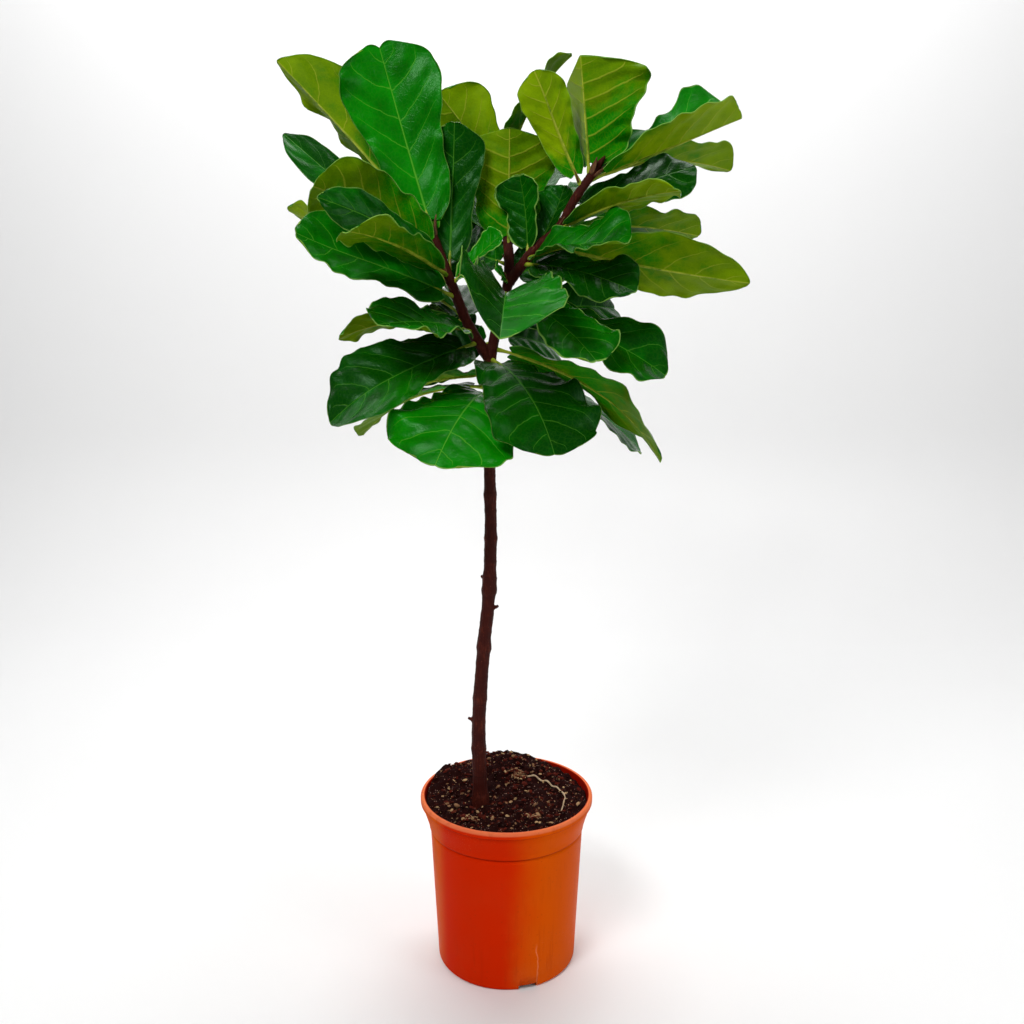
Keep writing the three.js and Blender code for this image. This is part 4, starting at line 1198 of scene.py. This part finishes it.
def peat(look):
    """Damp peat and bark: near black to tan, by each crumb's own hue, with rough broken faces."""
    material, where = start_material("potting_mix")
    marks = marks_on(where, patch_scale=70.0, speck_scale=420.0)
    hue = add(where.tree, "Attribute", attribute_name="crumb_hue")["Fac"]
    fibres = where.grain(260.0, 8.0, 0.75)
    level = fibres.between(0.5, 0.8).scaled(0.3, hue, clamp=True)
    base = level.between(0.1, 0.5).mix(look.dark, look.middle)
    base = level.between(0.62, 0.95).mix(base, look.light)
    base = (marks["Specks"] * 0.85).mix(base, MIX_SPECK)
    base = (marks["Patches"] * 0.35).mix(base, look.dark)
    return finish_material(material, base, fibres.scaled(0.25, 0.68), fibres, 0.003, 0.9, 0.06)


def pale_root(look):
    """Pale root skin with darker patches, specks of dirt and fine wrinkles."""
    material, where = start_material("surface_root")
    marks = marks_on(where, patch_scale=110.0, speck_scale=600.0)
    base = (marks["Patches"] * 0.55).mix(look.root, ROOT_RING)
    base = marks["Specks"].mix(base, ROOT_DIRT)
    wrinkles = where.grain(500.0, 5.0, 0.7)
    return finish_material(material, base, wrinkles.scaled(0.3, 0.5), wrinkles, 0.0012, 0.8)


def root_shell():
    """The thin root that curls over the top of the mix."""
    flat = centripetal([(x, y, 0) for x, y in ROOT_LINE], 12)
    places = np.linspace(0, 1, len(flat))
    line = [(x, y, soil_height(x, y) - 1.5 + 3.4 * math.sin(math.pi * t) ** 0.6)
            for (x, y, _), t in zip(flat, places)]
    radii = ROOT_RADIUS * (1 - 0.4 * places) + 0.15 * np.sin(places * 60)
    shell = Shell()
    shell.add(*tube(line, radii, 12))
    return shell


class FIG_OT_soil(bpy.types.Operator):
    """Build the potting mix with its crumbs and the root on it"""

    bl_idname = "fig.soil"
    bl_label = "Potting Mix"

    def execute(self, context):
        look = context.scene.fig_soil
        material = peat(look)
        ready(soil_shell().make("potting_mix", [material]), "soil")
        ready(crumb_shell(look).make("mix_crumbs", [material], smooth=False), None)
        ready(root_shell().make("surface_root", [pale_root(look)]), None)
        return {"FINISHED"}


# ---------------------------------------------------------------------------------------------
# Pot
# ---------------------------------------------------------------------------------------------


def pot_profile(look):
    """The pot's section as radius and height, from under its base round to the middle inside."""
    wall, groove = look.wall / MM, look.groove / MM
    foot = wall_radius(POT_FOOT) - POT_FOOT
    step_height, step = POT_OUTSIDE[1]
    profile = [(0, POT_BASE_RISE), (foot - 26, POT_BASE_RISE), (foot - 22, 0), (foot - 3, 0)]
    profile += rounded((foot, POT_FOOT), POT_FOOT, -90, 0, 10)
    profile += [(wall_radius(h), h) for h in np.linspace(20, step_height - 7, 14)]
    profile += [(step - 0.1, step_height - 1.6), (step - groove, step_height - 0.2),
                (step - groove, step_height + 0.9), (step + 1, step_height + 1.3), (step + 1.5, step_height + 2.2)]
    profile += [(wall_radius(h), h) for h in np.linspace(step_height + 5, 234.5, 12)]
    profile += [(wall_radius(POT_RIM_UNDER), POT_RIM_UNDER), (POT_RIM - 2, POT_RIM_UNDER + 0.3)]
    profile += rounded((POT_RIM - 1.6, POT_RIM_UNDER + 2), 1.6, -50, 0, 5)
    profile += [(POT_RIM, POT_RIM_UNDER + 4.5)]
    profile += rounded((POT_RIM - POT_RIM_ROLL, POT_HEIGHT - POT_RIM_ROLL), POT_RIM_ROLL, 0, 90, 8)
    profile += rounded((POT_RIM - 4.2, POT_HEIGHT - 1.8), 1.8, 100, 180, 5)
    profile += [(wall_radius(h) - wall, h) for h in (236.5, 227, 217, 208, 199, 120, 60, 20)]
    profile += rounded((foot, POT_FOOT), POT_FOOT - wall, 0, -90, 6)
    return profile + [(0, wall)]


def pot_shell(look):
    """The pot turned from its section, a little out of round, as a moulded pot is."""
    shell = Shell()
    profile = pot_profile(look)
    around = 192
    points = []
    for radius, height in profile[1:-1]:
        for k in range(around):
            angle = 2 * math.pi * k / around
            waver = 1 + 0.0016 * math.sin(2 * angle + 0.6) * height / POT_HEIGHT
            points.append((radius * waver * math.cos(angle), radius * waver * math.sin(angle), height))
    faces = turned_faces(points, around, profile[0][1], profile[-1][1])
    shell.add(points, faces)
    return shell


def cut_drain_slots(pot):
    """Cuts the drain slots into the edge of the pot's base."""
    shell = Shell()
    deep, wide, high = (size / 2 for size in DRAIN_SLOT)
    corners = np.array([(x, y, z) for x in (-deep, deep) for y in (-wide, wide) for z in (-high, high)])
    faces = [(0, 1, 3, 2), (4, 6, 7, 5), (0, 4, 5, 1), (2, 3, 7, 6), (0, 2, 6, 4), (1, 5, 7, 3)]
    for i in range(DRAIN_SLOTS):
        turn = turned_about(DRAIN_TURN + i * 2 * math.pi / DRAIN_SLOTS, 0, 0)
        shell.add((corners + (wall_radius(POT_FOOT) - 4.5, 0, 0)) @ turn.T, faces)
    cutter = shell.make("drain_cutter", [], smooth=False)
    modifier = pot.modifiers.new("Drain", "BOOLEAN")
    modifier.operation = "DIFFERENCE"
    modifier.solver = "EXACT"
    modifier.object = cutter
    applied(pot)
    bpy.data.objects.remove(cutter)


def worn_plastic(look):
    """Red orange moulded plastic: faded on the rim, scuffed, stained, and dusty near the foot."""
    material, where = start_material("pot_plastic")
    marks = marks_on(where, patch_scale=14.0, speck_scale=190.0, stretch=0.12)
    x, y, height = where.parts()
    cloudy = where.grain(7.0, 5.0, 0.6)

    # Red in the middle and orange towards both sides, painted light where the light falls on them; pale on the rim;
    # painted shade in lines under the steps and on the inside wall.
    right = cloudy.scaled(0.06, x).between(0.02, 0.085)
    base = right.larger(x.between(-0.098, -0.08, 1.0, 0.0)).mix(look.plastic, look.sunned)
    fade = cloudy.scaled(0.5, 0.55, clamp=True) * height.between(0.2405, 0.2435)
    base = fade.mix(base, look.rim)
    for level, half in STEP_SHADES:
        near = abs(height - level)
        base = near.between(half * 0.5, half, 0.7, 0.0).mix(base, STEP_SHADE)
    # Painted shade on the inside of the wall above the mix.
    flat = where.at_height(0.0)
    round_in = add(where.tree, "VectorMath", {0: flat}, operation="LENGTH")["Value"]
    inside = round_in.between(0.1148, 0.1156, 1.0, 0.0) * height.between(0.2285, 0.2295)
    base = inside.mix(base, POT_INSIDE_SHADE)

    # A pale crease that runs up from the front slot, then scuffs, stains, dust and specks.
    crease = abs(where.grain(45.0, 3.0).scaled(-0.012, x) - 0.036).between(0.0003, 0.0013, 1.0, 0.0)
    crease = crease * y.between(-0.05, -0.04, 1.0, 0.0) * height.between(0.055, 0.07, 0.6, 0.0)
    base = (crease * (look.wear * 2)).mix(base, POT_CREASE)
    scuff = marks["Scratches"] * look.wear
    base = scuff.mix(base, POT_SCUFF)
    streaks = where.at_height(height * 0.06).grain(160.0, 4.0, 0.6)
    stain = streaks.between(0.48, 0.8, 0.0, 0.8) * cloudy.between(0.4, 0.6)
    base = (stain * look.wear).mix(base, POT_STAIN)
    dust = marks["Patches"] * height.between(0.0, 0.05, 0.35, 0.06)
    base = (dust * look.wear).mix(base, POT_DUST)
    base = (marks["Specks"] * (0.35 * look.wear)).mix(base, POT_SPECK)

    rough = scuff.scaled(0.3, marks["Patches"].scaled(0.16, 0.34))
    relief = marks["Scratches"].scaled(-0.5, where.grain(1500.0, 2.0) * 0.25)
    return finish_material(material, base, rough, relief, 0.0004, 0.6, 0.012, (1.0, 0.7, 0.5, 1))


class FIG_OT_pot(bpy.types.Operator):
    """Build the nursery pot with its rim, step line and drain slots"""

    bl_idname = "fig.pot"
    bl_label = "Pot"

    def execute(self, context):
        look = context.scene.fig_pot
        piece = pot_shell(look).make("nursery_pot", [worn_plastic(look)])
        cut_drain_slots(piece)
        ready(piece, "pot")
        return {"FINISHED"}


# ---------------------------------------------------------------------------------------------
# Stage
# ---------------------------------------------------------------------------------------------


def backdrop(look):
    """A floor that curves up into a backdrop."""
    shell = Shell()
    back, bend = FLOOR_BACK, FLOOR_BEND
    line = [(-1500, 0)] + [(y, 0) for y in np.linspace(-1400, back, 10)]
    line += [(back + bend * math.sin(a), bend - bend * math.cos(a))
             for a in np.linspace(0.1, math.pi / 2, 12)]
    line += [(back + bend, z) for z in np.linspace(bend + 100, 3200, 8)]
    points = [(x, y, z) for y, z in line for x in (-2600, 2600)]
    shell.add(points, [(2 * i, 2 * i + 1, 2 * i + 3, 2 * i + 2) for i in range(len(line) - 1)])
    material, where = start_material("studio_floor")
    tint = where.grain(3.0, 3.0).mix(look.floor, [value * 0.985 for value in look.floor])
    rough = where.grain(40.0).scaled(0.1, 0.75)
    finish_material(material, tint, rough, where.grain(300.0), 0.0001, 0.2, 0.2)
    return shell.make("studio_floor", [material])


def lamp(name, place, aim, size, watts):
    """A large soft area light."""
    data = bpy.data.lights.new(name, "AREA")
    data.shape = "RECTANGLE"
    data.size, data.size_y = size
    data.energy = watts
    made = bpy.data.objects.new(name, data)
    made.location = place
    made.rotation_euler = (Vector(aim) - Vector(place)).to_track_quat("-Z", "Y").to_euler()
    bpy.context.scene.collection.objects.link(made)


class FIG_OT_stage(bpy.types.Operator):
    """Set up the floor, the lights and the camera"""

    bl_idname = "fig.stage"
    bl_label = "Stage"

    def execute(self, context):
        look = context.scene.fig_stage
        backdrop(look)
        for name, place, aim, size, strength in LIGHTS:
            lamp(name, place, aim, size, look.key * strength)
        world = bpy.data.worlds.new("studio")
        world.use_nodes = True
        background = world.node_tree.nodes["Background"]
        background.inputs["Color"].default_value = (1, 1, 1, 1)
        background.inputs["Strength"].default_value = SKY_STRENGTH
        context.scene.world = world
        data = bpy.data.cameras.new("camera")
        data.sensor_width = 36
        data.lens = look.focal
        data.shift_x = CAMERA_SHIFT
        made = bpy.data.objects.new("camera", data)
        made.location = (0, -look.distance, look.height)
        made.rotation_euler = (math.pi / 2 - look.pitch, 0, 0)
        context.scene.collection.objects.link(made)
        context.scene.camera = made
        context.scene.view_settings.view_transform = "Standard"
        return {"FINISHED"}


# ---------------------------------------------------------------------------------------------
# Panel and start
# ---------------------------------------------------------------------------------------------


class FIG_PT_panel(bpy.types.Panel):
    """Lists the fig's pieces and their settings"""

    bl_idname = "FIG_PT_panel"
    bl_label = "Potted Fiddle Leaf Fig"
    bl_space_type = "VIEW_3D"
    bl_region_type = "UI"
    bl_category = "Fig"

    def draw(self, context):
        for operator, settings in PIECES:
            box = self.layout.box()
            box.operator(operator.bl_idname)
            group_of_settings = getattr(context.scene, settings)
            for name in group_of_settings.__annotations__:
                box.prop(group_of_settings, name)


PIECES = [
    (FIG_OT_pot, "fig_pot"),
    (FIG_OT_soil, "fig_soil"),
    (FIG_OT_trunk, "fig_stem"),
    (FIG_OT_leaves, "fig_leaf"),
    (FIG_OT_stage, "fig_stage"),
]
SETTINGS = {
    "fig_pot": PotSettings,
    "fig_soil": SoilSettings,
    "fig_stem": StemSettings,
    "fig_leaf": LeafSettings,
    "fig_stage": StageSettings,
}


def register():
    """Registers the settings, the operators and the panel."""
    for name, settings in SETTINGS.items():
        bpy.utils.register_class(settings)
        setattr(bpy.types.Scene, name, bpy.props.PointerProperty(type=settings))
    for operator, _ in PIECES:
        bpy.utils.register_class(operator)
    bpy.utils.register_class(FIG_PT_panel)


def unregister():
    """Takes back what register did."""
    bpy.utils.unregister_class(FIG_PT_panel)
    for operator, _ in reversed(PIECES):
        bpy.utils.unregister_class(operator)
    for name, settings in reversed(SETTINGS.items()):
        delattr(bpy.types.Scene, name)
        bpy.utils.unregister_class(settings)


def main():
    """Builds the whole plant."""
    register()
    bpy.ops.fig.pot()
    bpy.ops.fig.soil()
    bpy.ops.fig.trunk()
    bpy.ops.fig.leaves()
    bpy.ops.fig.stage()


if __name__ == "__main__":
    main()
